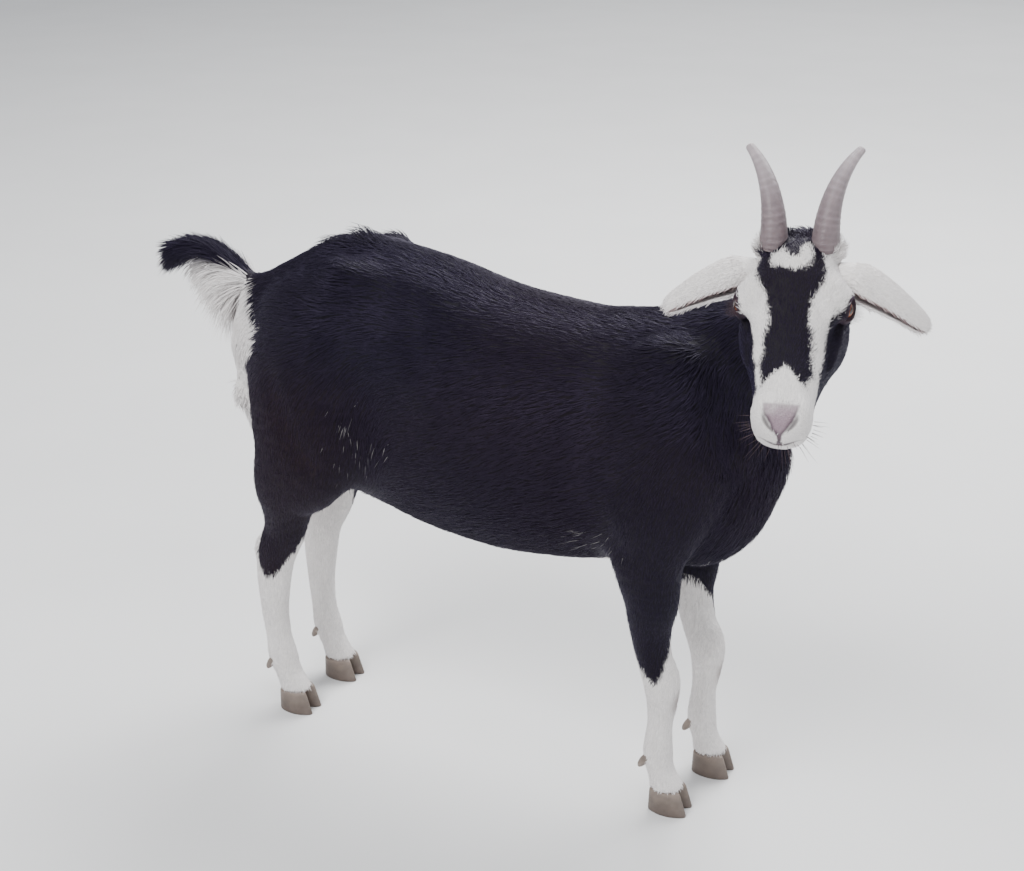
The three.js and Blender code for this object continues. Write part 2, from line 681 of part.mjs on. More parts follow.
// A lock of the tail's hair, rooted in the dock at a share of its length. angle runs from its top, 0, round
// its side to its underside. lean is how far the lock stands off the dock.
function tailLock(share, angle, long, lean, drop) {
  const rows = smoothRows(TAIL, 6);
  const i = Math.min(Math.round(share * (rows.length - 1)), rows.length - 2);
  const along = new THREE.Vector3(...rows[i + 1]).sub(new THREE.Vector3(...rows[i])).normalize();
  const across = new THREE.Vector3(0, 1, 0);
  const rise = new THREE.Vector3().crossVectors(across, along);
  const out = rise.multiplyScalar(Math.cos(angle)).addScaledVector(across, Math.sin(angle));
  const root = new THREE.Vector3(...rows[i]).addScaledVector(out, rows[i][4] * 0.3);
  const way = along.clone().multiplyScalar(Math.cos(lean)).addScaledVector(out, Math.sin(lean));
  const points = spread(4, (t) => {
    const p = root.clone().addScaledVector(way, long * t);
    return [p.x, p.y, p.z - drop * long * t * t];
  });
  const radii = [0.8, 1, 0.75, 0.12].map((r) => r * TAIL_HAIR.width);
  return solid(tube(points, radii, 4, { flat: TAIL_HAIR.flat, up: out.toArray() }));
}

// All the locks of the tail.
function tailHair() {
  const draw = drawsFrom(TAIL_HAIR.seed);
  const locks = [];
  for (let r = 0; r < TAIL_HAIR.rings; r++)
    for (let a = 0; a < TAIL_HAIR.around; a++) {
      const share = 0.22 + (0.7 * (r + 0.5 * (a % 2))) / TAIL_HAIR.rings;
      const angle = (2 * Math.PI * (a + 0.3 * (draw() - 0.5))) / TAIL_HAIR.around;
      const hang = (1 - Math.cos(angle)) / 2;
      const long = mix(TAIL_HAIR.over, mix(TAIL_HAIR.skirt, TAIL_HAIR.under, share), hang) * mix(0.85, 1.1, draw());
      locks.push(tailLock(share, angle, long, mix(0.16, mix(2.0, 0.1, share), hang), mix(0.1, 0.45, hang)));
    }
  for (let e = 0; e < TAIL_HAIR.tuft; e++) {
    const angle = (2 * Math.PI * e) / TAIL_HAIR.tuft;
    const hang = (1 - Math.cos(angle)) / 2;
    locks.push(tailLock(1, angle, TAIL_HAIR.end * mix(0.9, 1.05, draw()), 0.3, mix(0.05, 0.35, hang)));
  }
  return locks;
}

let trunk = flesh([-440, -170, 290], [450, 170, 770], [33, 24, 24]);
trunk = trunk.intersect(below(...NECK_CUT)).intersect(below(...TAIL_CUT));
for (const { name } of LEGS) trunk = trunk.subtract(regionOf(name, GAP));
add("torso", trunk, "coat");

const neck = flesh([290, -190, 480], [540, 110, 920], [20, 20, 20])
  .subtract(below(...NECK_CUT, GAP))
  .intersect(below(...THROAT_CUT, -GAP));
add("neck", neck, "coat");

const headRange = [[-60, -92, -110], [280, 92, 90], [9.6, 9.4, 9.4]];
let head = flesh(...headRange, { turn: headMatrix });
const headGrown = flesh(...headRange, { turn: headMatrix, grown: GAP }).add(head);
head = head.subtract(below(...THROAT_CUT));
for (const side of [-1, 1]) {
  const name = side > 0 ? "left" : "right";
  const centre = eyeCentre(side);
  head = head
    .add(ball(centre, EYE.radius + LID_THICKNESS, 3))
    .subtract(lidOpening(side))
    .subtract(ball(centre, EYE.radius + GAP, 3))
    .subtract(nostril(side));
  add("eye_" + name, ball(centre, EYE.radius, 3), "eye");
  add("horn_" + name, horn(side).subtract(headGrown), "horn");
  add("ear_" + name, ear(side).subtract(headGrown), "coat");
}
head = head.subtract(mouthGroove()).subtract(lipGroove());
add("head", head, "coat");

const dock = flesh([-520, -60, 560], [-330, 60, 760], [13, 12, 12]);
const tail = tailHair().reduce((made, lock) => made.add(lock), dock);
add("tail", tail.subtract(below(...TAIL_CUT, GAP)), "coat");

// The joint of a leg at a height, between its rows.
function jointAt(joints, height) {
  const i = joints.findIndex((row) => row[2] < height);
  const [above, under] = [joints[i - 1], joints[i]];
  const t = (above[2] - height) / (above[2] - under[2]);
  return above.map((v, k) => mix(v, under[k], t));
}

for (const { name, side, fore, joints } of LEGS) {
  const knee = fore ? 197 : 262;
  const [low, high] = boxOf(joints, 0);
  const inner = fore ? 6 : -16;
  const ys = side > 0 ? [inner, 150] : [-150, -inner];
  const range = [[low[0] - 110, ys[0], 12], [high[0] + 90, ys[1], fore ? 480 : 640], [17, 15, 27]];
  const whole = flesh(...range)
    .intersect(regionOf(name))
    .subtract(below([0, 0, CORONET_HEIGHT + GAP], [0, 0, 1]));
  const kneeCut = [[jointAt(joints, knee)[0], 0, knee], fore ? [0, 0, 1] : [0.35, 0, 1]];
  const shank = whole.intersect(below(...kneeCut, -GAP));
  add(name + (fore ? "_forearm" : "_thigh"), whole.subtract(below(...kneeCut)), "coat");
  add(name + "_cannon", shank, "coat");
  const grownLeg = flesh(...range, { grown: GAP }).add(shank);
  for (const [which, way] of [["inner", -side], ["outer", side]]) {
    add(`${name}_claw_${which}`, claw(joints.at(-1), way), "claw");
    const spur = dewclaw(jointAt(joints, DEWCLAW.height), way).subtract(grownLeg);
    add(`${name}_dewclaw_${which}`, spur, "claw");
  }
}

// The whole stands on its claws, over the middle of its own footprint.
const bounds = new THREE.Box3().setFromObject(root);
const middle = bounds.getCenter(new THREE.Vector3());
root.position.set(-middle.x, -middle.y, -bounds.min.z);

export default root;
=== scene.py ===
"""Scene of a life-size standing goat, a black and white horned doe with her head turned to her right.

The design frame of the goat is in millimetres: +X towards her chest, +Y to her left, the ground at z = 0.
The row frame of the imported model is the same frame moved, in metres.
"""

from __future__ import annotations

import logging
import math
from dataclasses import dataclass, field
from enum import Enum
from typing import Callable

import bpy
import numpy as np
from mathutils import Matrix, Vector


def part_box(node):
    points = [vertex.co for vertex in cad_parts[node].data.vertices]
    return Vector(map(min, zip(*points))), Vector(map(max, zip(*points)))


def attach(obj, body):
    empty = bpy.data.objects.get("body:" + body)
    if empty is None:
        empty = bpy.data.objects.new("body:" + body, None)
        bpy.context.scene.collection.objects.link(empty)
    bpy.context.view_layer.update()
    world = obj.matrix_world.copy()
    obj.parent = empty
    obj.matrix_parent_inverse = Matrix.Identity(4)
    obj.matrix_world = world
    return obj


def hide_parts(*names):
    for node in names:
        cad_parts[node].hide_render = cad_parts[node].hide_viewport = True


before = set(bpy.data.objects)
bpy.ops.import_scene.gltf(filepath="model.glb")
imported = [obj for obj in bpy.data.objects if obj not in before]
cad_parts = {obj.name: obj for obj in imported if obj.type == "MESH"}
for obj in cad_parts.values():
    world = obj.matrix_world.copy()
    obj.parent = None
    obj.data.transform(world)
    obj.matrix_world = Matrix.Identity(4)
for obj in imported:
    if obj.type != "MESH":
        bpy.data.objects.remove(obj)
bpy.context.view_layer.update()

LOG = logging.getLogger("goat")
MM = 0.001
FAR = 200.0
Array = np.ndarray

NOT_FLESH = ("eye", "horn", "ear", "tail")
FLESH_NODES = [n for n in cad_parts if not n.startswith(NOT_FLESH) and "claw" not in n]

# Stations of the trunk: x, topline, underline, half width, height of the widest point.
TRUNK = [
    [-398, 540, 500, 10, 520],
    [-388, 605, 440, 40, 530],
    [-350, 660, 405, 66, 560],
    [-290, 700, 385, 82, 580],
    [-220, 734, 372, 92, 590],
    [-150, 738, 356, 98, 560],
    [-60, 724, 338, 112, 520],
    [40, 699, 330, 119, 500],
    [130, 689, 335, 113, 500],
    [210, 687, 346, 100, 505],
    [280, 684, 352, 86, 510],
    [340, 664, 366, 72, 515],
    [385, 610, 410, 54, 520],
    [410, 562, 470, 28, 522],
    [420, 532, 508, 8, 520],
]

# Neck, tail and leg joints: centre, half depth, half width.
NECK = [
    [250, 0, 596, 88, 68],
    [328, 0, 638, 78, 60],
    [388, -8, 684, 61, 50],
    [425, -34, 738, 54, 44],
    [438, -74, 792, 50, 42],
]
TAIL = [
    [-345, 0, 636, 24, 22],
    [-374, 0, 648, 20, 19],
    [-400, 0, 666, 17, 17],
    [-426, 0, 682, 15, 15],
    [-455, 0, 688, 13, 13],
    [-484, 0, 684, 10, 10],
]
FORELEG = [
    [318, 70, 540, 56, 36],
    [285, 80, 460, 60, 34],
    [266, 78, 395, 52, 31],
    [274, 70, 328, 39, 27],
    [275, 64, 283, 30, 23],
    [283, 60, 237, 25, 22],
    [296, 57, 200, 26, 24],
    [298, 56, 165, 21.5, 20],
    [296, 55, 130, 18, 17],
    [295, 55, 86, 21, 21],
    [301, 55, 56, 19, 21],
    [311, 55, 26, 25, 23],
]
HINDLEG = [
    [-215, 62, 600, 92, 44],
    [-239, 72, 505, 91, 42],
    [-249, 78, 435, 79, 38],
    [-279, 74, 384, 55, 33],
    [-286, 68, 345, 41, 27],
    [-294, 62, 305, 34, 22],
    [-312, 58, 262, 31, 21],
    [-319, 57, 219, 28, 19],
    [-321, 56, 165, 22.5, 17.5],
    [-318, 55, 120, 20.5, 17],
    [-313, 55, 86, 23, 20],
    [-303, 55, 56, 20, 20],
    [-291, 55, 26, 25, 22],
]
STRIDE = {"foreleg_right": -12, "foreleg_left": 13, "hindleg_right": -6, "hindleg_left": 6}
STRIDE_TOP = 400
STRIDE_FULL = 200

# Head stations along the face, in the head's own frame, laid out as the trunk's.
HEAD = [
    [-6, 12, -24, 18, -2],
    [6, 32, -48, 36, 0],
    [28, 43, -62, 44, 0],
    [55, 48, -72, 50, 0],
    [82, 46, -78, 55, -4],
    [108, 38, -76, 54, -14],
    [140, 28, -70, 49, -24],
    [172, 20, -60, 39, -22],
    [205, 16, -52, 33, -18],
    [228, 13, -52, 34, -17],
    [243, 6, -48, 30, -19],
    [252, -4, -38, 20, -20],
    [257, -14, -26, 7, -20],
]
HEAD_ORIGIN = (442, -102, 824)
HEAD_TURN = math.radians(-78)
HEAD_PITCH = math.radians(30)
HEAD_ROLL = math.radians(1.6)
HEAD_POWER = 2.35
CORONET = 34.0


@dataclass(frozen=True)
class EyeSizes:
    """Where an eye sits in the head's frame, and the size of the eyeball and of its opening."""

    x: float = 96
    y: float = 50
    z: float = 8
    raised: float = 3.0
    radius: float = 13.5
    length: float = 27
    height: float = 16
    lid: float = 2.0


EYE = EyeSizes()


def eye_centre(side: int) -> np.ndarray:
    """The middle of an eyeball in the head's frame, 1 for her left eye and -1 for her right."""
    return np.array([EYE.x, side * EYE.y, EYE.z + EYE.raised])


class Region(Enum):
    """The parts of the goat whose coat is combed and trimmed alike."""

    TRUNK = 0
    NECK = 1
    HEAD = 2
    FORELEG = 3
    HINDLEG = 4
    TAIL = 5


# Small mathematics on arrays of points.


def unit(v: Array) -> Array:
    """Vectors at length 1."""
    return v / np.maximum(np.linalg.norm(v, axis=-1, keepdims=True), 1e-9)


def smoothstep(low: float, high: float, x: Array) -> Array:
    """A smooth rise from 0 at low to 1 at high."""
    t = np.clip((x - low) / (high - low), 0, 1)
    return t * t * (3 - 2 * t)


def smooth_rows(rows: list, steps: int) -> Array:
    """Rows of numbers on a Catmull-Rom curve.

    Args:
        rows: the rows that the curve passes through.
        steps: how many rows are made between each pair.

    Returns:
        The finer rows.
    """
    given = np.array(rows, float)
    last = len(given) - 1
    made = []
    for i in range(last):
        a, b, c, d = (given[min(max(i + o, 0), last)] for o in (-1, 0, 1, 2))
        for s in range(steps):
            t = s / steps
            made.append(b + 0.5 * t * (c - a + t * (2 * a - 5 * b + 4 * c - d + t * (3 * (b - c) + d - a))))
    made.append(given[-1])
    return np.array(made)


def blend(a: Array, b: Array, k: float) -> Array:
    """Joins two distances with a fillet of reach k."""
    h = np.maximum(k - np.abs(a - b), 0) / k
    return np.minimum(a, b) - h * h * k / 4


def oval_distance(u: Array, v: Array, half_u: Array, half_v: Array, power: float = 2) -> Array:
    """Distance along the ray from an oval's centre to its outline."""
    length = np.hypot(u, v)
    rho = (np.abs(u / half_u) ** power + np.abs(v / half_v) ** power) ** (1 / power)
    return np.where(length < 1e-6, -np.minimum(half_u, half_v), length * (1 - 1 / np.maximum(rho, 1e-9)))


def wave(p: Array, scale: float, phase: float) -> Array:
    """A slow wandering number between -1 and 1, from the place of each point."""
    q = p / scale + phase
    return (
        np.sin(q[:, 0] * 1.3 + 1.7 * np.sin(q[:, 1] * 0.9 + phase))
        + np.sin(q[:, 1] * 1.1 + 1.9 * np.sin(q[:, 2] * 1.2))
        + np.sin(q[:, 2] * 1.4 + 1.6 * np.sin(q[:, 0] * 0.8))
    ) / 3


# The head's frame.

HEAD_MATRIX = np.array(
    Matrix.Translation(HEAD_ORIGIN)
    @ Matrix.Rotation(HEAD_TURN, 4, "Z")
    @ Matrix.Rotation(HEAD_PITCH, 4, "Y")
    @ Matrix.Rotation(HEAD_ROLL, 4, "X")
)
HEAD_AXES = HEAD_MATRIX[:3, :3]


def to_head(p: Array) -> Array:
    """Points of the design frame in the head's frame."""
    return (np.asarray(p, float) - HEAD_ORIGIN) @ HEAD_AXES


def from_head(q: Array) -> Array:
    """Points of the head's frame in the design frame."""
    return np.asarray(q, float) @ HEAD_AXES.T + HEAD_ORIGIN


# The shapes of the flesh.


@dataclass
class Hull:
    """A body lofted along x through stations."""

    stations: list
    in_head: bool = False
    power: float = 2.25
    rows: Array = field(init=False)

    def __post_init__(self) -> None:
        """Fills in the finer rows."""
        self.rows = smooth_rows(self.stations, 6)

    def __call__(self, p: Array) -> Array:
        """The distance of each point from the hull."""
        q = to_head(p) if self.in_head else p
        along = np.clip(q[:, 0], self.rows[0, 0], self.rows[-1, 0])
        top, bottom, half, waist = (np.interp(along, self.rows[:, 0], self.rows[:, k]) for k in (1, 2, 3, 4))
        tall = np.maximum(np.where(q[:, 2] > waist, top - waist, waist - bottom), 1)
        d = oval_distance(q[:, 1], q[:, 2] - waist, np.maximum(half, 1), tall, self.power)
        over = q[:, 0] - along
        return np.where(over == 0, d, np.hypot(np.maximum(d, 0), over))


@dataclass
class Limb:
    """A tube through joints of centre, half depth and half width."""

    joints: list
    neck: bool = False
    steps: int = 5

    def __call__(self, p: Array) -> Array:
        """The distance of each point from the limb."""
        rows = smooth_rows(self.joints, self.steps)
        best = np.full(len(p), np.inf)
        parts = np.zeros((4, len(p)))
        for a, b in zip(rows[:-1], rows[1:]):
            e = (b - a)[:3]
            side = np.array([0.0, 1.0, 0.0])
            if self.neck:
                side = np.array([-e[1], e[0], 0.0]) / max(math.hypot(e[0], e[1]), 1e-9)
            t = np.clip((p - a[:3]) @ e / (e @ e), 0, 1)
            q = p - a[:3] - t[:, None] * e
            square = (q * q).sum(1)
            half_deep = a[3] + t * (b[3] - a[3])
            near = np.sqrt(square) - half_deep < best
            wide = q @ side
            deep = np.sqrt(np.maximum(square - wide * wide, 0))
            best = np.where(near, np.sqrt(square) - half_deep, best)
            parts = np.where(near, np.array([deep, wide, half_deep, a[4] + t * (b[4] - a[4])]), parts)
        return oval_distance(parts[0], parts[1], parts[2], parts[3])


@dataclass
class Mound:
    """An ellipsoid of half sizes r about centre."""

    centre: tuple
    r: tuple
    in_head: bool = True

    def __call__(self, p: Array) -> Array:
        """The distance of each point from the mound."""
        q = (to_head(p) if self.in_head else p) - np.array(self.centre)
        length = np.linalg.norm(q, axis=1)
        rho = np.linalg.norm(q / np.array(self.r), axis=1)
        return np.where(rho < 1e-6, -min(self.r), length * (1 - 1 / np.maximum(rho, 1e-9)))


@dataclass
class Blob:
    """A shape, the reach of its fillet, and the box outside which it doesn't count."""

    shape: Callable[[Array], Array]
    reach: float
    centres: list
    margin: float = 150

    def __call__(self, p: Array) -> Array:
        """The distance of each point, or FAR outside the box."""
        c = np.array([row[:3] for row in self.centres], float)
        inside = ((p > c.min(0) - self.margin) & (p < c.max(0) + self.margin)).all(1)
        made = np.full(len(p), FAR)
        if inside.any():
            made[inside] = self.shape(p[inside])
        return made


def head_mound(centre: tuple, r: tuple, reach: float) -> Blob:
    """A mound on the head, with the box that it needs."""
    return Blob(Mound(centre, r), reach, [from_head(centre)], max(r) + reach + 20)


def leg_joints(joints: list, side: int, stride: float) -> list:
    """A leg's joints on one side, carried fore or aft by the stride below the elbow or stifle."""
    made = []
    for x, y, z, deep, wide in joints:
        share = min(max((STRIDE_TOP - z) / (STRIDE_TOP - STRIDE_FULL), 0), 1)
        made.append([x + stride * share, side * y, z, deep, wide])
    return made


LEGS = {
    name: leg_joints(
        FORELEG if name.startswith("fore") else HINDLEG,
        1 if name.endswith("left") else -1,
        stride,
    )
    for name, stride in STRIDE.items()
}


class Flesh:
    """The goat's flesh as one smooth field of distances, with the finer forms of the skin."""

    def __init__(self) -> None:
        """Gathers the shapes."""
        self.trunk = Hull(TRUNK)
        self.neck = Blob(Limb(NECK, neck=True), 46, NECK)
        self.head = Blob(Hull(HEAD, True, HEAD_POWER), 26, [from_head((0, 0, 0)), from_head((255, 0, 0))])
        self.tail = Blob(Limb(TAIL), 30, TAIL)
        self.legs = {n: Blob(Limb(j), 34 if n.startswith("fore") else 44, j) for n, j in LEGS.items()}
        self.added = [self.neck, self.head, self.tail, *self.legs.values()]
        self.hollows: list[Blob] = []
        for side in (-1, 1):
            self.added += [
                Blob(Mound((278, side * 66, 585), (70, 34, 96), False), 40, [(278, side * 66, 585)]),
                Blob(Mound((-168, side * 66, 694), (36, 20, 22), False), 44, [(-168, side * 66, 694)]),
                Blob(Mound((-338, side * 57, 264), (12, 11, 17), False), 14, [(-338, side * 57, 264)], 60),
                head_mound((88, side * 38, -42), (46, 21, 30), 18),
                head_mound((EYE.x - 3, side * 46, EYE.z + 5), (27, 20, 20), 14),
                head_mound((232, side * 17, -3), (13, 12, 13), 12),
            ]
            self.hollows += [
                Blob(Mound((-150, side * 142, 560), (60, 34, 90), False), 60, [(-150, side * 142, 560)]),
                head_mound((EYE.x + 46, side * 52, 8), (26, 9, 12), 18),
            ]
        self.added.append(head_mound((226, 0, -40), (20, 18, 12), 10))
        self.fine_added: list[Blob] = []
        self.fine_hollows: list[Blob] = []
        self._finer()

    def _finer(self) -> None:
        """The forms that only the skin has: bones and tendons under it, lids, nostrils and the mouth."""
        for side in (-1, 1):
            eye = tuple(eye_centre(side))
            cuff = [from_head((26 - 0.41 * s, side * 28, 32 + 0.91 * s)) for s in (0, 3.5, 7)]
            cuff = [[*q, 17.2, 17.2] for q in cuff]
            self.fine_added += [
                Blob(Limb(cuff, steps=3), 8, cuff, 40),
                Blob(Mound((384, side * 44, 560), (16, 16, 22), False), 26, [(384, side * 44, 560)], 80),
                Blob(Mound((-172, side * 74, 712), (16, 12, 12), False), 20, [(-172, side * 74, 712)], 70),
                head_mound((EYE.x - 10, side * 40, EYE.z + 22), (20, 9, 6), 14),
                head_mound((EYE.x + 26, side * 44, -14), (34, 6, 5), 16),
                head_mound((92, side * 36, -64), (44, 8, 9), 14),
                head_mound(eye, (EYE.radius + EYE.lid,) * 3, 5),
                head_mound((214, side * 18, -30), (24, 9, 9), 10),
            ]
            self.fine_hollows += [
                head_mound((EYE.x + 24, side * 49, EYE.z - 6), (12, 4, 4), 8),
                self.nostril(side),
                *self._muscle_valleys(side),
            ]
            for name in ("foreleg", "hindleg"):
                joints = LEGS[name + ("_left" if side > 0 else "_right")]
                self.fine_hollows += self._tendon(joints)
        self.fine_hollows += [self.mouth(), self.lip_cleft()]

    @staticmethod
    def _muscle_valleys(side: int) -> list[Blob]:
        """The hollows between the big muscles: behind the shoulder, at the neck, before and on the thigh."""
        valleys = (
            (12, 34, ((208, 118, 612), (192, 125, 560), (186, 127, 500), (200, 124, 450), (222, 118, 408))),
            (10, 30, ((356, 92, 640), (364, 90, 590), (378, 78, 545))),
            (14, 40, ((-128, 106, 700), (-146, 116, 650), (-154, 118, 600), (-164, 118, 552))),
            (8, 26, ((-272, 123, 560), (-262, 125, 520), (-243, 127, 480), (-222, 122, 450))),
            (24, 50, ((-62, 118, 668), (-92, 120, 660))),
            (16, 40, ((-60, 136, 540), (-90, 134, 500))),
        )
        made = []
        for radius, reach, points in valleys:
            rows = [[x, side * y, z, radius, radius] for x, y, z in points]
            made.append(Blob(Limb(rows, steps=3), reach, rows, radius + reach + 10))
        return made

    @staticmethod
    def _tendon(joints: list) -> list[Blob]:
        """The long hollow on each side of a cannon, between the bone and the tendon behind it."""
        made = []
        for way in (-1, 1):
            rows = [[x - 5, y + way * (wide + 2.5), z, 5, 5] for x, y, z, _, wide in joints if 80 < z < 200]
            made.append(Blob(Limb(rows, steps=3), 8, rows, 30))
        return made

    def meet(self, start: tuple, end: tuple) -> Array:
        """Where a line in the head's frame, followed from outside, first meets the flesh."""
        t = np.linspace(0, 1, 200)
        line = np.array(start, float) + t[:, None] * (np.array(end, float) - start)
        inside = self.plain(from_head(line)) <= 0
        return line[int(np.argmax(inside))]

    def nostril(self, side: int) -> Blob:
        """A slit that curls from the side of the nose down towards the lip."""
        slit = [(18.5, 9), (17, 4), (13, -2), (7.5, -7)]
        points = [self.meet((290, side * y, z), (200, side * y, z)) for y, z in slit]
        rows = [[*from_head(q - (1.2, 0, 0)), r, r] for q, r in zip(points, (1.2, 2.7, 2.2, 0.8))]
        return Blob(Limb(rows, steps=4), 2.5, rows, 20)

    def mouth(self) -> Blob:
        """The groove of the mouth round the muzzle."""
        rows = []
        for t in np.linspace(0, 1, 19):
            swing = (2 * t - 1) * math.radians(118)
            z = -24 + 5 * math.exp(-(((abs(2 * t - 1) - 0.2) / 0.1) ** 2)) - 20 * abs(2 * t - 1) ** 1.4
            q = self.meet((212 + 70 * math.cos(swing), 70 * math.sin(swing), z), (212, 0, z))
            r = 0.5 + 1.2 * math.sin(math.pi * t) ** 0.5
            rows.append([*from_head(q), r, r])
        return Blob(Limb(rows, steps=2), 3, rows, 20)

    def lip_cleft(self) -> Blob:
        """The groove down the middle of the nose pad and upper lip."""
        points = [self.meet((290, 0, z), (200, 0, z)) for z in (-7, -13, -18, -24)]
        rows = [[*from_head(q), r, r] for q, r in zip(points, (0.5, 1.1, 1.3, 1.3))]
        return Blob(Limb(rows, steps=3), 2, rows, 20)

    def plain(self, p: Array) -> Array:
        """The flesh as the solids have it."""
        d = self.trunk(p)
        for blob in self.added:
            d = blend(d, blob(p), blob.reach)
        for hollow in self.hollows:
            d = -blend(-d, hollow(p), hollow.reach)
        return d

    def skin(self, p: Array) -> Array:
        """The skin under the coat, with its finer forms."""
        d = self.plain(p)
        for blob in self.fine_added:
            d = blend(d, blob(p), blob.reach)
        d = d + coat_depth(p)
        for hollow in self.fine_hollows:
            d = -blend(-d, hollow(p), hollow.reach)
        return np.maximum(d, CORONET - 1.5 - p[:, 2])

    def shares(self, p: Array) -> Array:
        """How much each point belongs to each region, one column for each Region."""
        fore = np.minimum(self.legs["foreleg_left"](p), self.legs["foreleg_right"](p))
        hind = np.minimum(self.legs["hindleg_left"](p), self.legs["hindleg_right"](p))
        low = smoothstep(600, 430, p[:, 2])
        far = [self.trunk(p), self.neck(p), self.head(p), fore, hind, self.tail(p)]
        w = np.stack([np.exp(-np.maximum(d, 0) / 12) for d in far], 1)
        w[:, Region.FORELEG.value] *= low
        w[:, Region.HINDLEG.value] *= low
        w[:, Region.TRUNK.value] *= 0.15 + 0.85 * smoothstep(340, 420, p[:, 2])
        return w / w.sum(1, keepdims=True)


def coat_depth(p: Array) -> Array:
    """How far the skin lies inside the solids: deep on the body, thin on the face and feet."""
    head = smoothstep(150, 90, np.linalg.norm((to_head(p) - (110, 0, -15)) / (1.0, 0.8, 0.8), axis=1))
    body = smoothstep(250, 430, p[:, 2])
    buttock = 14 * smoothstep(-316, -366, p[:, 0]) * np.exp(-(((p[:, 2] - 512) / 50) ** 2))
    buttock += 10 * smoothstep(-326, -362, p[:, 0]) * np.exp(-(((p[:, 2] - 462) / 30) ** 2))
    return 1.0 + 2.4 * body * (1 - head) + buttock


# Meshes.


def surface_net(value: Array, low: Array, cell: float) -> tuple[Array, Array]:
    """Dual surface of a grid of distances.

    Args:
        value: the distances at the grid's corners.
        low: the place of the first corner.
        cell: the grid's spacing.

    Returns:
        The vertices and the four-sided faces.
    """
    inside = value <= 0
    shape = np.array(value.shape) - 1
    window = lambda a, o: a[o[0] : o[0] + shape[0], o[1] : o[1] + shape[1], o[2] : o[2] + shape[2]]
    corners = [(n & 1, n >> 1 & 1, n >> 2) for n in range(8)]
    count = sum(window(inside, o).astype(int) for o in corners)
    active = (count > 0) & (count < 8)
    where = np.argwhere(active)
    total = np.zeros((len(where), 3))
    hits = np.zeros(len(where))
    at = tuple(where.T)
    for n, a in enumerate(corners):
        for bit in (1, 2, 4):
            if n & bit:
                continue
            b = corners[n | bit]
            va, vb = window(value, a)[at], window(value, b)[at]
            crossed = (va <= 0) != (vb <= 0)
            t = np.where(crossed, va / np.where(va == vb, 1, va - vb), 0)
            place = np.array(a) + t[:, None] * (np.array(b) - np.array(a))
            total += place * crossed[:, None]
            hits += crossed
    vertices = low + (where + total / hits[:, None]) * cell
    number = np.full(shape, -1)
    number[at] = np.arange(len(where))
    faces = []
    for axis in range(3):
        u, v = (axis + 1) % 3, (axis + 2) % 3
        first = np.take(inside, range(shape[axis]), axis)
        second = np.take(inside, range(1, shape[axis] + 1), axis)
        edges = np.argwhere(first != second)
        past = (edges[:, u] > 0) & (edges[:, v] > 0)
        edges = edges[past & (edges[:, u] < shape[u]) & (edges[:, v] < shape[v])]
        ring = []
        for du, dv in ((1, 1), (0, 1), (0, 0), (1, 0)):
            cell_at = edges.copy()
            cell_at[:, u] -= du
            cell_at[:, v] -= dv
            ring.append(number[tuple(cell_at.T)])
        quads = np.stack(ring, 1)
        outward = first[tuple(edges.T)]
        faces.append(np.where(outward[:, None], quads, quads[:, ::-1]))
    return vertices, np.vstack(faces)


@dataclass
class Shell:
    """A mesh of four-sided faces, some with extra corners where a finer part begins."""

    vertices: Array
    quads: Array
    ragged: list = field(default_factory=list)

    def refine(self, chosen: Array, settle: Callable[[Array], Array]) -> None:
        """Splits the chosen quads in four.

        Args:
            chosen: a mask over the quads.
            settle: moves new vertices onto the surface.
        """
        fine = self.quads[chosen]
        pairs = np.sort(np.stack([fine, np.roll(fine, -1, 1)], 2).reshape(-1, 2), 1)
        base = len(self.vertices)
        keys = pairs[:, 0] * (base + 1) + pairs[:, 1]
        found, first, back = np.unique(keys, return_index=True, return_inverse=True)
        ends = pairs[first]
        middles = (self.vertices[ends[:, 0]] + self.vertices[ends[:, 1]]) / 2
        centres = self.vertices[fine].mean(1)
        middle_of = back.reshape(-1, 4) + base
        hub = np.arange(len(fine)) + base + len(middles)
        made = [
            np.stack([fine[:, k], middle_of[:, k], hub, middle_of[:, k - 1]], 1) for k in range(4)
        ]
        lookup = dict(zip(found.tolist(), range(base, base + len(found))))
        kept, ragged = [], []
        for face in list(self.quads[~chosen].tolist()) + self.ragged:
            corners = []
            for a, b in zip(face, face[1:] + face[:1]):
                corners.append(a)
                extra = lookup.get(min(a, b) * (base + 1) + max(a, b))
                if extra is not None:
                    corners.append(extra)
            (kept if len(corners) == 4 else ragged).append(corners)
        new = settle(np.vstack([middles, centres]))
        self.vertices = np.vstack([self.vertices, new])
        self.quads = np.vstack([np.array(kept, int).reshape(-1, 4), *made])
        self.ragged = ragged


def mesh_object(name: str, vertices: Array, faces: list, smooth: bool = True) -> bpy.types.Object:
    """A mesh object in the row frame from points of the design frame.

    Args:
        name: the object's name.
        vertices: points in millimetres of the design frame.
        faces: lists of corner numbers.
        smooth: whether its faces are shaded smooth.

    Returns:
        The object, at the origin.
    """
    sizes = np.array([len(f) for f in faces], np.int32)
    loops = np.array([corner for f in faces for corner in f], np.int32)
    return mesh_from_arrays(name, vertices, loops, sizes, smooth)


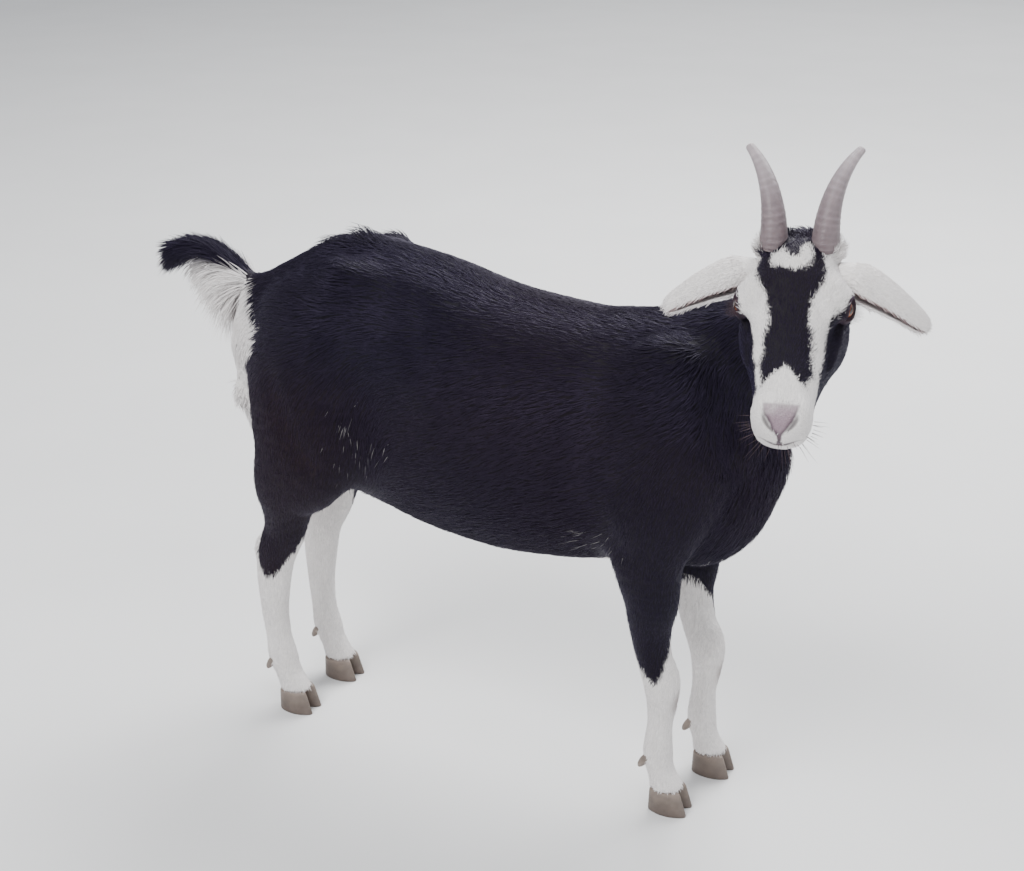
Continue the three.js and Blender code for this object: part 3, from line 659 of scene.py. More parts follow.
def mesh_from_arrays(
    name: str, vertices: Array, loops: Array, sizes: Array, smooth: bool
) -> bpy.types.Object:
    """As mesh_object, from flat arrays of corner numbers and face sizes.

    Args:
        name: the object's name.
        vertices: points in the design frame.
        loops: the vertex number of each corner.
        sizes: how many corners each face has.
        smooth: whether the faces are shaded smooth.

    Returns:
        The object.
    """
    mesh = bpy.data.meshes.new(name)
    mesh.vertices.add(len(vertices))
    mesh.vertices.foreach_set("co", (row_frame(vertices)).astype(np.float32).ravel())
    mesh.loops.add(len(loops))
    mesh.loops.foreach_set("vertex_index", loops.astype(np.int32))
    mesh.polygons.add(len(sizes))
    mesh.polygons.foreach_set("loop_start", (np.cumsum(sizes) - sizes).astype(np.int32))
    mesh.update(calc_edges=True)
    mesh.validate()
    mesh.polygons.foreach_set("use_smooth", np.full(len(mesh.polygons), smooth))
    made = bpy.data.objects.new(name, mesh)
    bpy.context.scene.collection.objects.link(made)
    return made


def paint(piece: bpy.types.Object, colours: Array, name: str = "Hair colour") -> None:
    """Gives each vertex of a piece its linear colour."""
    layer = piece.data.color_attributes.new(name, "FLOAT_COLOR", "POINT")
    full = np.ones((len(colours), 4), np.float32)
    full[:, :3] = colours
    layer.data.foreach_set("color", full.ravel())


def number_layer(piece: bpy.types.Object, name: str, values: Array) -> None:
    """Gives each vertex of a piece a number that its material reads."""
    layer = piece.data.attributes.new(name, "FLOAT", "POINT")
    layer.data.foreach_set("value", values.astype(np.float32))


def loft(rings: Array, closed_ends: bool = True) -> tuple[Array, list]:
    """Rings of points stitched into one body.

    Args:
        rings: an array of rings, points and coordinates.
        closed_ends: whether each end is closed by a fan.

    Returns:
        The vertices and the faces.
    """
    count, n, _ = rings.shape
    vertices = rings.reshape(-1, 3)
    faces = []
    for r in range(count - 1):
        for i in range(n):
            a, b = r * n + i, r * n + (i + 1) % n
            faces.append([a, b, b + n, a + n])
    if closed_ends:
        hubs = np.array([rings[0].mean(0), rings[-1].mean(0)])
        low, high = len(vertices), len(vertices) + 1
        vertices = np.vstack([vertices, hubs])
        last = (count - 1) * n
        for i in range(n):
            j = (i + 1) % n
            faces.append([low, j, i])
            faces.append([high, last + i, last + j])
    return vertices, faces


def turned_out(vertices: Array, faces: list) -> list:
    """The faces, reversed where the closed body would be inside out."""
    volume = 0.0
    for f in faces:
        a = vertices[f[0]]
        for b, c in zip(f[1:-1], f[2:]):
            volume += float(np.dot(a, np.cross(vertices[b], vertices[c])))
    return faces if volume > 0 else [list(reversed(f)) for f in faces]


def tube_rings(points: Array, radii: Array, sides: int, up: Array, flat: float = 1.0) -> Array:
    """Oval rings along a path."""
    along = unit(np.gradient(points, axis=0))
    side = unit(np.cross(along, up))
    rise = np.cross(side, along)
    a = np.linspace(0, 2 * np.pi, sides, endpoint=False)
    across = np.cos(a)[None, :, None] * side[:, None]
    up_down = np.sin(a)[None, :, None] * rise[:, None] * flat
    return points[:, None] + radii[:, None, None] * (across + up_down)


def row_frame(p: Array) -> Array:
    """Points of the design frame, in millimetres, in the row frame, in metres."""
    return (np.asarray(p, float) + ROW_SHIFT) * MM


def find_row_shift() -> Array:
    """How far the row frame's origin lies from the design frame's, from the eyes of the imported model."""
    shifts = []
    for side, name in ((-1, "eye_right"), (1, "eye_left")):
        low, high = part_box(name)
        middle = (np.array(low) + np.array(high)) / 2 / MM
        shifts.append(middle - from_head((EYE.x, side * EYE.y, EYE.z)))
    return np.mean(shifts, 0)


ROW_SHIFT = find_row_shift()


# Colours and markings.


def srgb(code: str) -> Array:
    """The linear colour of an sRGB hex value."""
    c = np.array([int(code[i : i + 2], 16) / 255 for i in (1, 3, 5)])
    return np.where(c <= 0.04045, c / 12.92, ((c + 0.055) / 1.055) ** 2.4)


@dataclass(frozen=True)
class CoatColours:
    """The pigments of the coat and of bare skin, and the dark colour painted as shade into the nostrils and
    the mouth.
    """

    black: Array = field(default_factory=lambda: srgb("#0f0c15"))
    brown: Array = field(default_factory=lambda: srgb("#221513"))
    white: Array = field(default_factory=lambda: srgb("#eeeae7"))
    grey_brown: Array = field(default_factory=lambda: srgb("#8b7c78"))
    nose: Array = field(default_factory=lambda: srgb("#8e7a84"))
    nose_rim: Array = field(default_factory=lambda: srgb("#4b3943"))
    # painted shade in the nostrils, the mouth's line and the lip's cleft, and the dark skin of the lids'
    # edges
    slit: Array = field(default_factory=lambda: srgb("#33262c"))
    inner_ear: Array = field(default_factory=lambda: srgb("#cdb6b6"))
    # painted shade for the dark line along an ear's front edge
    ear_edge_shade: Array = field(default_factory=lambda: srgb("#74504b"))
    lid: Array = field(default_factory=lambda: srgb("#2b2025"))


COLOURS = CoatColours()


@dataclass(frozen=True)
class FaceMarks:
    """Edges of the marks of the face in the head's frame: x along it, and the mark's half width or height."""

    blaze_x: tuple = (0, 30, 44, 62, 79, 94, 106, 120, 134, 149, 165, 186, 206)
    blaze_right: tuple = (29, 32, 41, 44, 40, 33, 27, 23, 22, 25, 26, 27, 22)
    blaze_left: tuple = (19, 20, 26, 32, 32, 27, 21, 18, 20, 24, 26, 27, 22)
    stripe_x: tuple = (20, 57, 84, 100, 110, 118, 128, 139, 160, 180, 204)
    stripe_right: tuple = (8, 10, 19, 24, 23, 10, 4, 3, 3, 1, 0)
    stripe_left: tuple = (8, 12, 20, 28, 27, 22, 13, 6, 1, -5, -18)
    peak: float = 183
    tongue: float = 21
    muzzle: float = 209
    poll: float = 8
    forehead: tuple = (((58, -18), (13, 10)), ((52, 10), (16, 7.5)), ((65, -2), (9, 14)))


FACE = FaceMarks()


def white_on_head(q: Array) -> Array:
    """How far, in millimetres, each point of the head lies inside a white mark."""
    x, y, z = q.T
    side = np.abs(y + 1)
    left = y > 0
    on_left = np.interp(x, FACE.blaze_x, FACE.blaze_left)
    on_right = np.interp(x, FACE.blaze_x, FACE.blaze_right)
    edge = np.where(left, on_left, on_right)
    tongue = FACE.peak + FACE.tongue * np.clip(side / FACE.tongue, 0, 1)
    blaze = np.minimum(edge - np.abs(y), tongue - x)
    on_left = np.interp(x, FACE.stripe_x, FACE.stripe_left)
    on_right = np.interp(x, FACE.stripe_x, FACE.stripe_right)
    low = np.where(left, on_left, on_right)
    stripe = z - low
    white = np.minimum(np.minimum(-blaze, stripe), x - FACE.poll)
    for (cx, cy), (rx, ry) in FACE.forehead:
        heart = (1 - np.hypot((x - cx) / rx, (y - cy) / ry)) * ry
        white = np.maximum(white, np.where(z > 20, heart, -20))
    return np.maximum(white, x - FACE.muzzle)


def white_on_legs(p: Array) -> Array:
    """How far each point lies below the edge of a leg's white sock, which is higher on the inner side."""
    x, y, z = p.T
    white = np.full(len(p), -50.0)
    for name, joints in LEGS.items():
        rows = smooth_rows(joints, 4)[::-1]
        fore = name.startswith("fore")
        mine = ((x > 60) == fore) & ((y > 0) == name.endswith("left")) & (z < 560)
        mine &= np.abs(x - np.interp(z, rows[:, 2], rows[:, 0])) < 1.5 * np.interp(z, rows[:, 2], rows[:, 3])
        xc, yc, deep, wide = (np.interp(z, rows[:, 2], rows[:, k]) for k in (0, 1, 3, 4))
        out = (np.abs(y) - np.abs(yc)) / wide
        ahead = (x - xc) / deep
        inner = np.clip(1 - out, 0, 2) ** 2
        ahead = np.clip(ahead, -1.4, 1.4)
        if fore:
            edge = 208 + 26 * inner + 33 * ahead**2
        else:
            edge = 226 + 46 * inner + np.where(ahead < 0, 62, 36) * np.clip(np.abs(ahead), 0, 1.3) ** 2
        white = np.where(mine, edge - z, white)
    return white


def white_on_body(p: Array) -> Array:
    """How far each point of the body lies inside a white mark."""
    x, y, z = p.T
    side = np.abs(y)
    rear = np.interp(z, (540, 566, 585, 614, 637, 656, 668), (-374, -333, -312, -304, -336, -344, -352))
    patch = np.minimum(np.minimum(rear - x, z - 545), 656 - z)
    cleft = np.minimum(np.minimum(36 - side, 562 - z), -250 - x)
    under_tail = np.minimum(np.interp(x, (-462, -423, -384, -345), (673, 674, 656, 650)) - 3 - z, -345 - x)
    return np.maximum.reduce([patch, cleft, under_tail, white_on_legs(p)])


def coat_colour(p: Array, shares: Array, seed: int, soft: float = 2.5) -> Array:
    """The colour of the hair rooted at each point.

    Args:
        p: the roots, in the design frame.
        shares: how much each belongs to each region.
        seed: for the hairs' own differences.
        soft: how far black and white run into one another, in millimetres.

    Returns:
        Linear colours.
    """
    draw = np.random.default_rng(seed)
    on_head = shares[:, Region.HEAD.value]
    ragged = 2.6 * wave(p, 6.0, 2.1) + 1.6 * wave(p, 2.2, 0.7)
    face = white_on_head(to_head(p)) + 0.6 * ragged
    inside = np.where(on_head > 0.5, face, white_on_body(p) + 1.7 * ragged)
    share = smoothstep(-soft, soft, inside + draw.normal(0, 1.2, len(p)))
    thigh = smoothstep(-120, -330, p[:, 0]) * smoothstep(620, 430, p[:, 2])
    rusty = np.clip(0.25 + 0.4 * wave(p, 90, 4.0) + 0.7 * thigh, 0, 1)
    dark = COLOURS.black + (COLOURS.brown - COLOURS.black) * (rusty * 0.5)[:, None]
    dark = dark * draw.uniform(0.75, 1.3, len(p))[:, None]
    light = COLOURS.white * (1 - 0.10 * draw.random(len(p)) - 0.05 * (1 + wave(p, 30, 1.0)))[:, None]
    made = dark + (light - dark) * share[:, None]
    knee = np.zeros(len(p))
    for name, height in (("foreleg_right", 174), ("foreleg_left", 166)):
        rows = smooth_rows(LEGS[name], 4)[::-1]
        centre = np.array([np.interp(height, rows[:, 2], rows[:, k]) for k in (0, 1)] + [height]) + (16, 0, 0)
        knee = np.maximum(knee, np.exp(-((np.linalg.norm((p - centre) / (13, 10, 17), axis=1)) ** 2.5)))
    made = made + (COLOURS.grey_brown - made) * (0.85 * knee)[:, None]
    pad = nose_pad(p) + 0.4 * ragged
    q = to_head(p)
    rim = smoothstep(5.5, 0.5, pad) * smoothstep(13, 6, q[:, 2]) * smoothstep(-24, -12, q[:, 2])
    fade = smoothstep(17, 4, q[:, 2] + 0.8 * ragged)
    nose = COLOURS.nose + (COLOURS.nose_rim - COLOURS.nose) * rim[:, None]
    return made + (nose - made) * (smoothstep(-2.2, 1.4, pad) * (0.35 + 0.65 * fade))[:, None]


def nose_pad(p: Array) -> Array:
    """How far, in millimetres, each point lies inside the bare heart of the nose."""
    q = to_head(p)
    reach = 3.2 + 16.3 * np.clip((q[:, 2] + 9) / 20, 0, 1) ** 0.9
    bottom = np.where(np.abs(q[:, 1]) < 2.2, q[:, 2] + 24, q[:, 2] + 10)
    return np.minimum(np.minimum(reach - np.abs(q[:, 1]), q[:, 0] - 229), np.minimum(bottom, 14.0 - q[:, 2]))


def nose_share(p: Array) -> Array:
    """Where the skin is bare."""
    return smoothstep(-1.0, 1.5, nose_pad(p))


def pale_hairs(p: Array) -> Array:
    """How likely a hair is a pale one: on the fold of the flank and behind the elbow."""
    made = np.zeros(len(p))
    for side in (-1, 1):
        elbow = ((192, side * 92, 403), (24, 40, 13), 0.25)
        flank = ((-150, side * 97, 478), (34, 40, 40), 0.09)
        for centre, r, most in (elbow, flank):
            made += most * np.exp(-(np.linalg.norm((p - centre) / r, axis=1) ** 2))
    return made


def lie_of_coat(p: Array, normal: Array, shares: Array) -> Array:
    """The way the hair lies at each point, along the skin.

    Args:
        p: the roots.
        normal: the skin's direction at each.
        shares: how much each belongs to each region.

    Returns:
        Directions of length 1 in the skin's plane.
    """
    q = to_head(p)
    chest = smoothstep(300, 400, p[:, 0])[:, None]
    rump = smoothstep(-250, -370, p[:, 0])[:, None]
    flank = smoothstep(690, 560, p[:, 2])[:, None]
    trunk = np.array([-1.0, 0, 0]) + flank * np.array([0, 0, -0.45])
    trunk = trunk + chest * np.array([0.75, 0, -0.8]) + rump * np.array([0.55, 0, -0.8])
    fold = np.exp(-(((p[:, 0] + 150) / 46) ** 2) - ((p[:, 2] - 480) / 70) ** 2)[:, None]
    trunk = trunk + fold * np.array([0.95, 0, -1.6])
    outward = np.clip(q[:, 1] / 40, -1, 1)
    cheek = smoothstep(-10, -50, q[:, 2])
    head = np.stack([-np.ones(len(p)), 0.35 * outward, -0.1 - 0.35 * cheek], 1) @ HEAD_AXES.T
    ways = [trunk, (-0.55, 0.32, -0.77), head, (-0.12, 0, -1), (-0.16, 0, -1), (-1, 0, 0.1)]
    full = [np.broadcast_to(np.asarray(way, float), (len(p), 3)) for way in ways]
    total = sum(shares[:, k, None] * way for k, way in enumerate(full))
    sway = np.stack([wave(p, 55, 0.3), wave(p, 60, 1.3), wave(p, 50, 2.3)], 1)
    clump = np.stack([wave(p, 11, 0.9), wave(p, 12, 1.9), wave(p, 10, 2.9)], 1)
    total = total + 0.18 * sway + 0.13 * clump * (1 - shares[:, Region.HEAD.value, None])
    return unit(total - normal * (total * normal).sum(1, keepdims=True))


# Hair as closed tapered strands.


@dataclass
class Strands:
    """Strands as rows of ring centres, their flat side, their own widths, their tips, colours and places.

    roots gives each strand's place on an unwrap of the skin it grows from, between 0 and 1.
    """

    centres: Array
    sides: Array
    rises: Array
    widths: Array
    tips: Array
    colours: Array
    roots: Array
    thickness: float = 0.25

    PATCH = 0.003

    def build(self, name: str) -> bpy.types.Object:
        """One object of all the strands, each a closed three-sided spike.

        Args:
            name: the object's name.

        Returns:
            The object, with its colours and its OFBake map.
        """
        count, rings, _ = self.centres.shape
        half = (self.widths / 2)[:, :, None]
        left = self.centres + self.sides * half
        right = self.centres - self.sides * half
        top = self.centres + self.rises * half * 2 * self.thickness
        ring = np.stack([left, right, top], 2).reshape(count, rings * 3, 3)
        vertices = np.concatenate([ring, self.tips[:, None]], 1).reshape(-1, 3)
        per = rings * 3 + 1
        faces: list[list[int]] = [[0, 1, 2]]
        for r in range(rings - 1):
            a = 3 * r
            faces += [[a, a + 2, a + 5, a + 3], [a + 1, a + 4, a + 5, a + 2], [a, a + 3, a + 4, a + 1]]
        a, tip = 3 * (rings - 1), per - 1
        faces += [[a, a + 2, tip], [a + 2, a + 1, tip], [a + 1, a, tip]]
        pattern = np.concatenate(faces)
        sizes = np.tile([len(f) for f in faces], count)
        loops = (pattern[None] + (np.arange(count) * per)[:, None]).ravel()
        made = mesh_from_arrays(name, vertices, loops, sizes, smooth=False)
        paint(made, np.repeat(self.colours, per, axis=0))
        steps = np.repeat(np.arange(rings), 3) / rings
        across = np.append(np.tile([0.0, 1.0, 0.5], rings), 0.5)
        local = np.stack([across, np.append(steps, 1.0)], 1) - 0.5
        uv = self.roots[:, None] * 0.99 + 0.005 + self.PATCH * local[None]
        layer = made.data.uv_layers.new(name="OFBake")
        layer.data.foreach_set("uv", uv.reshape(-1, 2)[loops].astype(np.float32).ravel())
        return made


def sample(vertices: Array, triangles: Array, density: Array, seed: int) -> tuple[Array, Array, Array]:
    """Points spread over triangles.

    Args:
        vertices: the mesh's points.
        triangles: corner numbers, three each.
        density: points wanted for each square millimetre, one for each triangle.
        seed: for the draw.

    Returns:
        The points, their triangles' normals, and the numbers of the triangles.
    """
    draw = np.random.default_rng(seed)
    a, b, c = (vertices[triangles[:, k]] for k in range(3))
    cross = np.cross(b - a, c - a)
    share = np.linalg.norm(cross, axis=1) / 2 * density
    total = np.cumsum(share)
    count = int(total[-1])
    at = np.searchsorted(total, (np.arange(count) + draw.random(count)) / count * total[-1])
    at = np.minimum(at, len(triangles) - 1)
    u, v = draw.random((2, count, 1))
    fold = u + v > 1
    u, v = np.where(fold, 1 - u, u), np.where(fold, 1 - v, v)
    return a[at] + u * (b - a)[at] + v * (c - a)[at], unit(cross[at]), at


def short_tufts(
    p: Array,
    normal: Array,
    lie: Array,
    length: Array,
    width: Array,
    lift: Array,
    colours: Array,
    roots: Array,
) -> Strands:
    """Tufts of two rings and a tip that lie along the skin and rise a little at their middle.

    Args:
        p: their roots.
        normal: the skin's direction at each.
        lie: the way that each lies.
        length: the length of each.
        width: the width of each at its root.
        lift: how far each rises, as a share of its length.
        colours: a linear colour for each.
        roots: the place of each on the unwrap of the skin.

    Returns:
        The tufts.
    """
    side = unit(np.cross(normal, lie))
    rise = normal
    long, up = length[:, None], (lift * length)[:, None]
    base = p - normal * 0.7
    middle = p + lie * long * 0.5 + normal * up
    tip = p + lie * long + normal * (up * 1.1)
    centres = np.stack([base, middle], 1)
    widths = np.stack([width, width * 0.85], 1)
    both = lambda v: np.stack([v, v], 1)
    return Strands(centres, both(side), both(rise), widths, tip, colours, roots)


# Materials.

Tree = bpy.types.NodeTree
Socket = bpy.types.NodeSocket


def add_node(
    tree: Tree, kind: str, settings: dict | None = None, links: dict | None = None
) -> bpy.types.Node:
    """Adds a node.

    Args:
        tree: the node tree.
        kind: the node's type.
        settings: values by input name or number, or by property name after a dot.
        links: sockets by input name or number.

    Returns:
        The node.
    """
    made = tree.nodes.new(kind)
    for key, value in (settings or {}).items():
        if isinstance(key, str) and key.startswith("."):
            setattr(made, key[1:], value)
        else:
            made.inputs[key].default_value = value
    for key, socket in (links or {}).items():
        tree.links.new(socket, made.inputs[key])
    return made


def object_place(tree: Tree) -> Socket:
    """The place of each point in the object's own frame."""
    return add_node(tree, "ShaderNodeTexCoord").outputs["Object"]


def noise_at(tree: Tree, place: Socket, scale: float, detail: float) -> Socket:
    """Noise between 0 and 1."""
    settings = {"Scale": scale, "Detail": detail}
    return add_node(tree, "ShaderNodeTexNoise", settings, {"Vector": place}).outputs["Fac"]


def spread(tree: Tree, value: Socket, low: float, high: float) -> Socket:
    """A value between 0 and 1, spread from low to high."""
    settings = {"To Min": low, "To Max": high}
    return add_node(tree, "ShaderNodeMapRange", settings, {"Value": value}).outputs["Result"]


def own_colour(tree: Tree, tone: Socket) -> Socket:
    """The piece's own colour layer, made lighter or darker by a factor."""
    colour = add_node(tree, "ShaderNodeVertexColor", {".layer_name": "Hair colour"})
    links = {0: colour.outputs["Color"], "Scale": tone}
    return add_node(tree, "ShaderNodeVectorMath", {".operation": "SCALE"}, links).outputs["Vector"]


def bumped(tree: Tree, height: Socket, strength: float, distance: float) -> Socket:
    """The surface's direction, stirred by a height."""
    settings = {"Strength": strength, "Distance": distance}
    return add_node(tree, "ShaderNodeBump", settings, {"Height": height}).outputs[0]


def opaque(colour: Array) -> tuple:
    """A linear colour with full alpha."""
    return (*[float(v) for v in colour], 1.0)


def new_material(name: str) -> tuple[bpy.types.Material, Tree]:
    """An empty material and its tree."""
    made = bpy.data.materials.new(name)
    made.use_nodes = True
    made.node_tree.nodes.clear()
    return made, made.node_tree


def close_material(tree: Tree, shader: bpy.types.Node) -> None:
    """Links the shader to the material's output."""
    add_node(tree, "ShaderNodeOutputMaterial", links={"Surface": shader.outputs[0]})


def dress(piece: bpy.types.Object, material: bpy.types.Material) -> None:
    """Gives the piece one material."""
    piece.data.materials.clear()
    piece.data.materials.append(material)


@dataclass(frozen=True)
class HairFinish:
    """Goat hair: smooth keratin that shines along its length, with a soft lilac bloom on its black parts."""

    name: str = "Goat hair"
    roughness: float = 0.58
    ior: float = 1.5
    specular: float = 0.34
    bloom: str = "#7d70b4"
    bloom_weight: float = 0.16
    shine: str = "#b9acd8"

    def build(self) -> bpy.types.Material:
        """The material, coloured by the hairs' own attribute and by fine streaks."""
        made, tree = new_material(self.name)
        grain = noise_at(tree, object_place(tree), 900.0, 1.0)
        colour = own_colour(tree, spread(tree, grain, 0.82, 1.18))
        shader = add_node(
            tree,
            "ShaderNodeBsdfPrincipled",
            {
                "Roughness": self.roughness,
                "IOR": self.ior,
                "Specular IOR Level": self.specular,
                "Sheen Weight": self.bloom_weight,
                "Sheen Roughness": 0.45,
                "Sheen Tint": opaque(srgb(self.bloom)),
                "Specular Tint": opaque(srgb(self.shine)),
            },
            {"Base Color": colour},
        )
        close_material(tree, shader)
        return made


@dataclass(frozen=True)
class SkinFinish:
    """Short fur over skin: the coat's own colour, with streaks that run along the lie of the hair."""

    name: str = "Short fur on skin"
    roughness: float = 0.55
    hair_width: float = 1.1
    hair_length: float = 14.0
    bump: float = 0.5

    def streaks(self, tree: Tree, way: tuple, place: Socket) -> Socket:
        """Noise drawn out along one direction of the row frame."""
        turn = Vector((1, 0, 0)).rotation_difference(Vector(way)).inverted().to_euler()
        turned = add_node(tree, "ShaderNodeMapping", {"Rotation": turn}, {"Vector": place})
        scale = (1000 / self.hair_length, 1000 / self.hair_width, 1000 / self.hair_width)
        drawn = add_node(tree, "ShaderNodeMapping", {"Scale": scale}, {"Vector": turned.outputs[0]})
        return noise_at(tree, drawn.outputs[0], 1.0, 2.0)

    def build(self) -> bpy.types.Material:
        """The material, whose streaks follow the trunk, the legs or the head."""
        made, tree = new_material(self.name)
        place = object_place(tree)
        trunk = self.streaks(tree, (-1, 0, -0.3), place)
        legs = self.streaks(tree, (-0.1, 0, -1), place)
        head = self.streaks(tree, tuple(-HEAD_AXES[:, 0]), place)
        parts = trunk
        for layer, other in (("On legs", legs), ("On head", head)):
            share = add_node(tree, "ShaderNodeAttribute", {".attribute_name": layer})
            links = {0: share.outputs["Fac"], 2: parts, 3: other}
            parts = add_node(tree, "ShaderNodeMix", {".data_type": "FLOAT"}, links).outputs[0]
        bare = add_node(tree, "ShaderNodeAttribute", {".attribute_name": "Bare"}).outputs["Fac"]
        cobbles = add_node(tree, "ShaderNodeTexVoronoi", {"Scale": 700.0}, {"Vector": place})
        links = {0: bare, 2: parts, 3: cobbles.outputs["Distance"]}
        height = add_node(tree, "ShaderNodeMix", {".data_type": "FLOAT"}, links).outputs[0]
        shader = add_node(
            tree,
            "ShaderNodeBsdfPrincipled",
            {"IOR": 1.5, "Sheen Weight": 0.12, "Sheen Tint": opaque(srgb("#7d70b4"))},
            {
                "Base Color": own_colour(tree, spread(tree, parts, 0.62, 1.3)),
                "Normal": bumped(tree, height, self.bump, 0.0012),
                "Roughness": spread(tree, bare, self.roughness, 0.34),
                "Specular IOR Level": spread(tree, bare, 0.12, 0.5),
            },
        )
        close_material(tree, shader)
        return made


@dataclass(frozen=True)
class HornFinish:
    """Keratin of a horn or claw: a waxy sheath that grew in rings, paler at its ridges, with painted shade in
    the grooves between them on the horns.
    """

    name: str
    roughness: float = 0.42

    def build(self) -> bpy.types.Material:
        """The material: the piece's own colours, fine growth lines and scratches."""
        made, tree = new_material(self.name)
        place = object_place(tree)
        blotches = noise_at(tree, place, 120.0, 4.0)
        fine = noise_at(tree, place, 1400.0, 2.0)
        lines = add_node(tree, "ShaderNodeAttribute", {".attribute_name": "Growth"})
        waves = add_node(tree, "ShaderNodeMath", {".operation": "SINE"}, {0: lines.outputs["Fac"]})
        height = add_node(tree, "ShaderNodeMath", {".operation": "ADD"}, {0: waves.outputs[0], 1: fine})
        shader = add_node(
            tree,
            "ShaderNodeBsdfPrincipled",
            {
                "Roughness": self.roughness,
                "IOR": 1.54,
                "Subsurface Weight": 0.06,
                "Subsurface Radius": (0.004, 0.002, 0.001),
            },
            {
                "Base Color": own_colour(tree, spread(tree, blotches, 0.7, 1.3)),
                "Normal": bumped(tree, height.outputs[0], 0.35, 0.0005),
            },
        )
        close_material(tree, shader)
        return made


@dataclass(frozen=True)
class WetFinish:
    """A living eye or a moist lid: wet tissue under a clear film of tears."""

    name: str
    roughness: float = 0.08
    film: float = 1.0

    def build(self) -> bpy.types.Material:
        """The material: the piece's own colours with a little grain, under a glossy coat."""
        made, tree = new_material(self.name)
        grain = noise_at(tree, object_place(tree), 1500.0, 2.0)
        shader = add_node(
            tree,
            "ShaderNodeBsdfPrincipled",
            {"Roughness": self.roughness, "IOR": 1.38, "Coat Weight": self.film, "Coat Roughness": 0.03},
            {"Base Color": own_colour(tree, spread(tree, grain, 0.8, 1.2))},
        )
        close_material(tree, shader)
        return made


# The pieces.


@dataclass
class Body:
    """The one skin of trunk, neck, head and legs, and the short coat over it."""

    flesh: Flesh
    cell: float = 8.0
    low: tuple = (-520, -345, 22)
    high: tuple = (540, 150, 930)
    shell: Shell = field(init=False)
    triangles: Array = field(init=False)

    def settle(self, p: Array, steps: int = 3, reach: float = 7.0) -> Array:
        """Moves points onto the skin by at most reach."""
        start = p.copy()
        for _ in range(steps):
            d = self.flesh.skin(p)
            e = 0.4
            slope = np.stack([(self.flesh.skin(p + np.eye(3)[k] * e) - d) / e for k in range(3)], 1)
            steep = np.maximum((slope * slope).sum(1), 0.25)
            p = p - slope * (d / steep)[:, None]
        far = np.linalg.norm(p - start, axis=1) > reach
        p[far] = start[far]
        return p

    def grid(self) -> tuple[Array, Array]:
        """Distances on a grid, exact near the skin and rough elsewhere."""
        low, high = np.array(self.low, float), np.array(self.high, float)
        count = np.ceil((high - low) / self.cell).astype(int) + 1
        rough = 4
        coarse_count = -(-count // rough) + 1
        axes = [low[k] + np.arange(coarse_count[k]) * self.cell * rough for k in range(3)]
        places = np.stack(np.meshgrid(*axes, indexing="ij"), -1).reshape(-1, 3)
        coarse = self.flesh.plain(places).reshape(coarse_count)
        index = np.stack(np.meshgrid(*[np.arange(n) for n in count], indexing="ij"), -1).reshape(-1, 3)
        nearest = np.minimum((index + rough // 2) // rough, coarse_count - 1)
        value = coarse[tuple(nearest.T)]
        close = np.abs(value) < 46
        value[close] = self.flesh.skin(low + index[close] * self.cell)
        return value.reshape(count), low

    def build_skin(self) -> bpy.types.Object:
        """The skin, finer on the legs and head and finest at the eyes, nose and mouth.

        Returns:
            The object, with its colours and layers.
        """
        value, low = self.grid()
        vertices, quads = surface_net(value, low, self.cell)
        self.shell = Shell(self.settle(vertices, 2, 5.0), quads)
        level_marks = (self._legs_and_head, self._head, self._fine_places)
        for marks in level_marks:
            centres = self.shell.vertices[self.shell.quads].mean(1)
            self.shell.refine(marks(centres), lambda p: self.settle(p, 3, 4.0))
        points = self.shell.vertices
        for side in (-1, 1):
            points = self._open_lids(points, side)
        keep = points[:, 2] > 0
        self.shell.vertices = np.where(keep[:, None], points, points * (1, 1, 0))
        faces = self.shell.quads.tolist() + self.shell.ragged
        self.triangles = np.array([[f[0], f[k], f[k + 1]] for f in faces for k in range(1, len(f) - 1)])
        made = mesh_object("skin", self.shell.vertices, faces)
        shares = self.flesh.shares(points)
        colours = coat_colour(points, shares, 3)
        # The colours, with painted shade in the nostrils, the mouth's line and the lip's cleft, and dark
        # lids' edges.
        paint(made, self._slit_shade_and_lid_edges(points, colours))
        number_layer(made, "On legs", shares[:, 3] + shares[:, 4])
        number_layer(made, "On head", shares[:, 2])
        number_layer(made, "Bare", nose_share(points))
        return made

    @staticmethod
    def _legs_and_head(c: Array) -> Array:
        """The first places to refine."""
        q = to_head(c)
        head = (q[:, 0] > -20) & (np.abs(q[:, 1]) < 95) & (q[:, 2] > -105) & (c[:, 2] > 560)
        return head | (c[:, 2] < 420) & ((np.abs(c[:, 0] - 290) < 110) | (c[:, 0] < -190)) | (c[:, 0] < -350)

    @staticmethod
    def _head(c: Array) -> Array:
        """The head alone."""
        q = to_head(c)
        return (q[:, 0] > -5) & (np.abs(q[:, 1]) < 85) & (q[:, 2] > -92) & (c[:, 2] > 600)

    @staticmethod
    def _fine_places(c: Array) -> Array:
        """The eyes, the nose and the mouth."""
        q = to_head(c)
        near = np.stack([q[:, 0] - EYE.x - 2, np.abs(q[:, 1]) - EYE.y - 6, q[:, 2] - EYE.z], 1)
        eyes = np.linalg.norm(near, axis=1) < 25
        mouth = (q[:, 0] > 178) & (np.abs(q[:, 2] + 36) < 12)
        return (c[:, 2] > 600) & (eyes | (q[:, 0] > 222) | mouth)

    @staticmethod
    def eye_axes(side: int) -> Array:
        """The directions along the lids, across them and out of the eye, as rows, in the head's frame."""
        out = unit(np.array([0.33, side, 0.44]))
        along = np.array([1, 0, -0.22])
        along = unit(along - out * (along @ out))
        rising = unit(np.cross(out, along)) * side
        return np.stack([along, rising, out])

    @staticmethod
    def almond(u: Array) -> tuple[Array, Array]:
        """Height and depth of the lids' opening at a share u of its half length."""
        inside = np.clip(1 - u * u, 0, 1) ** 0.75
        rise = EYE.height / 2
        return rise * 1.02 * inside - 0.8 * np.clip(u, 0, 1), -rise * 0.9 * inside

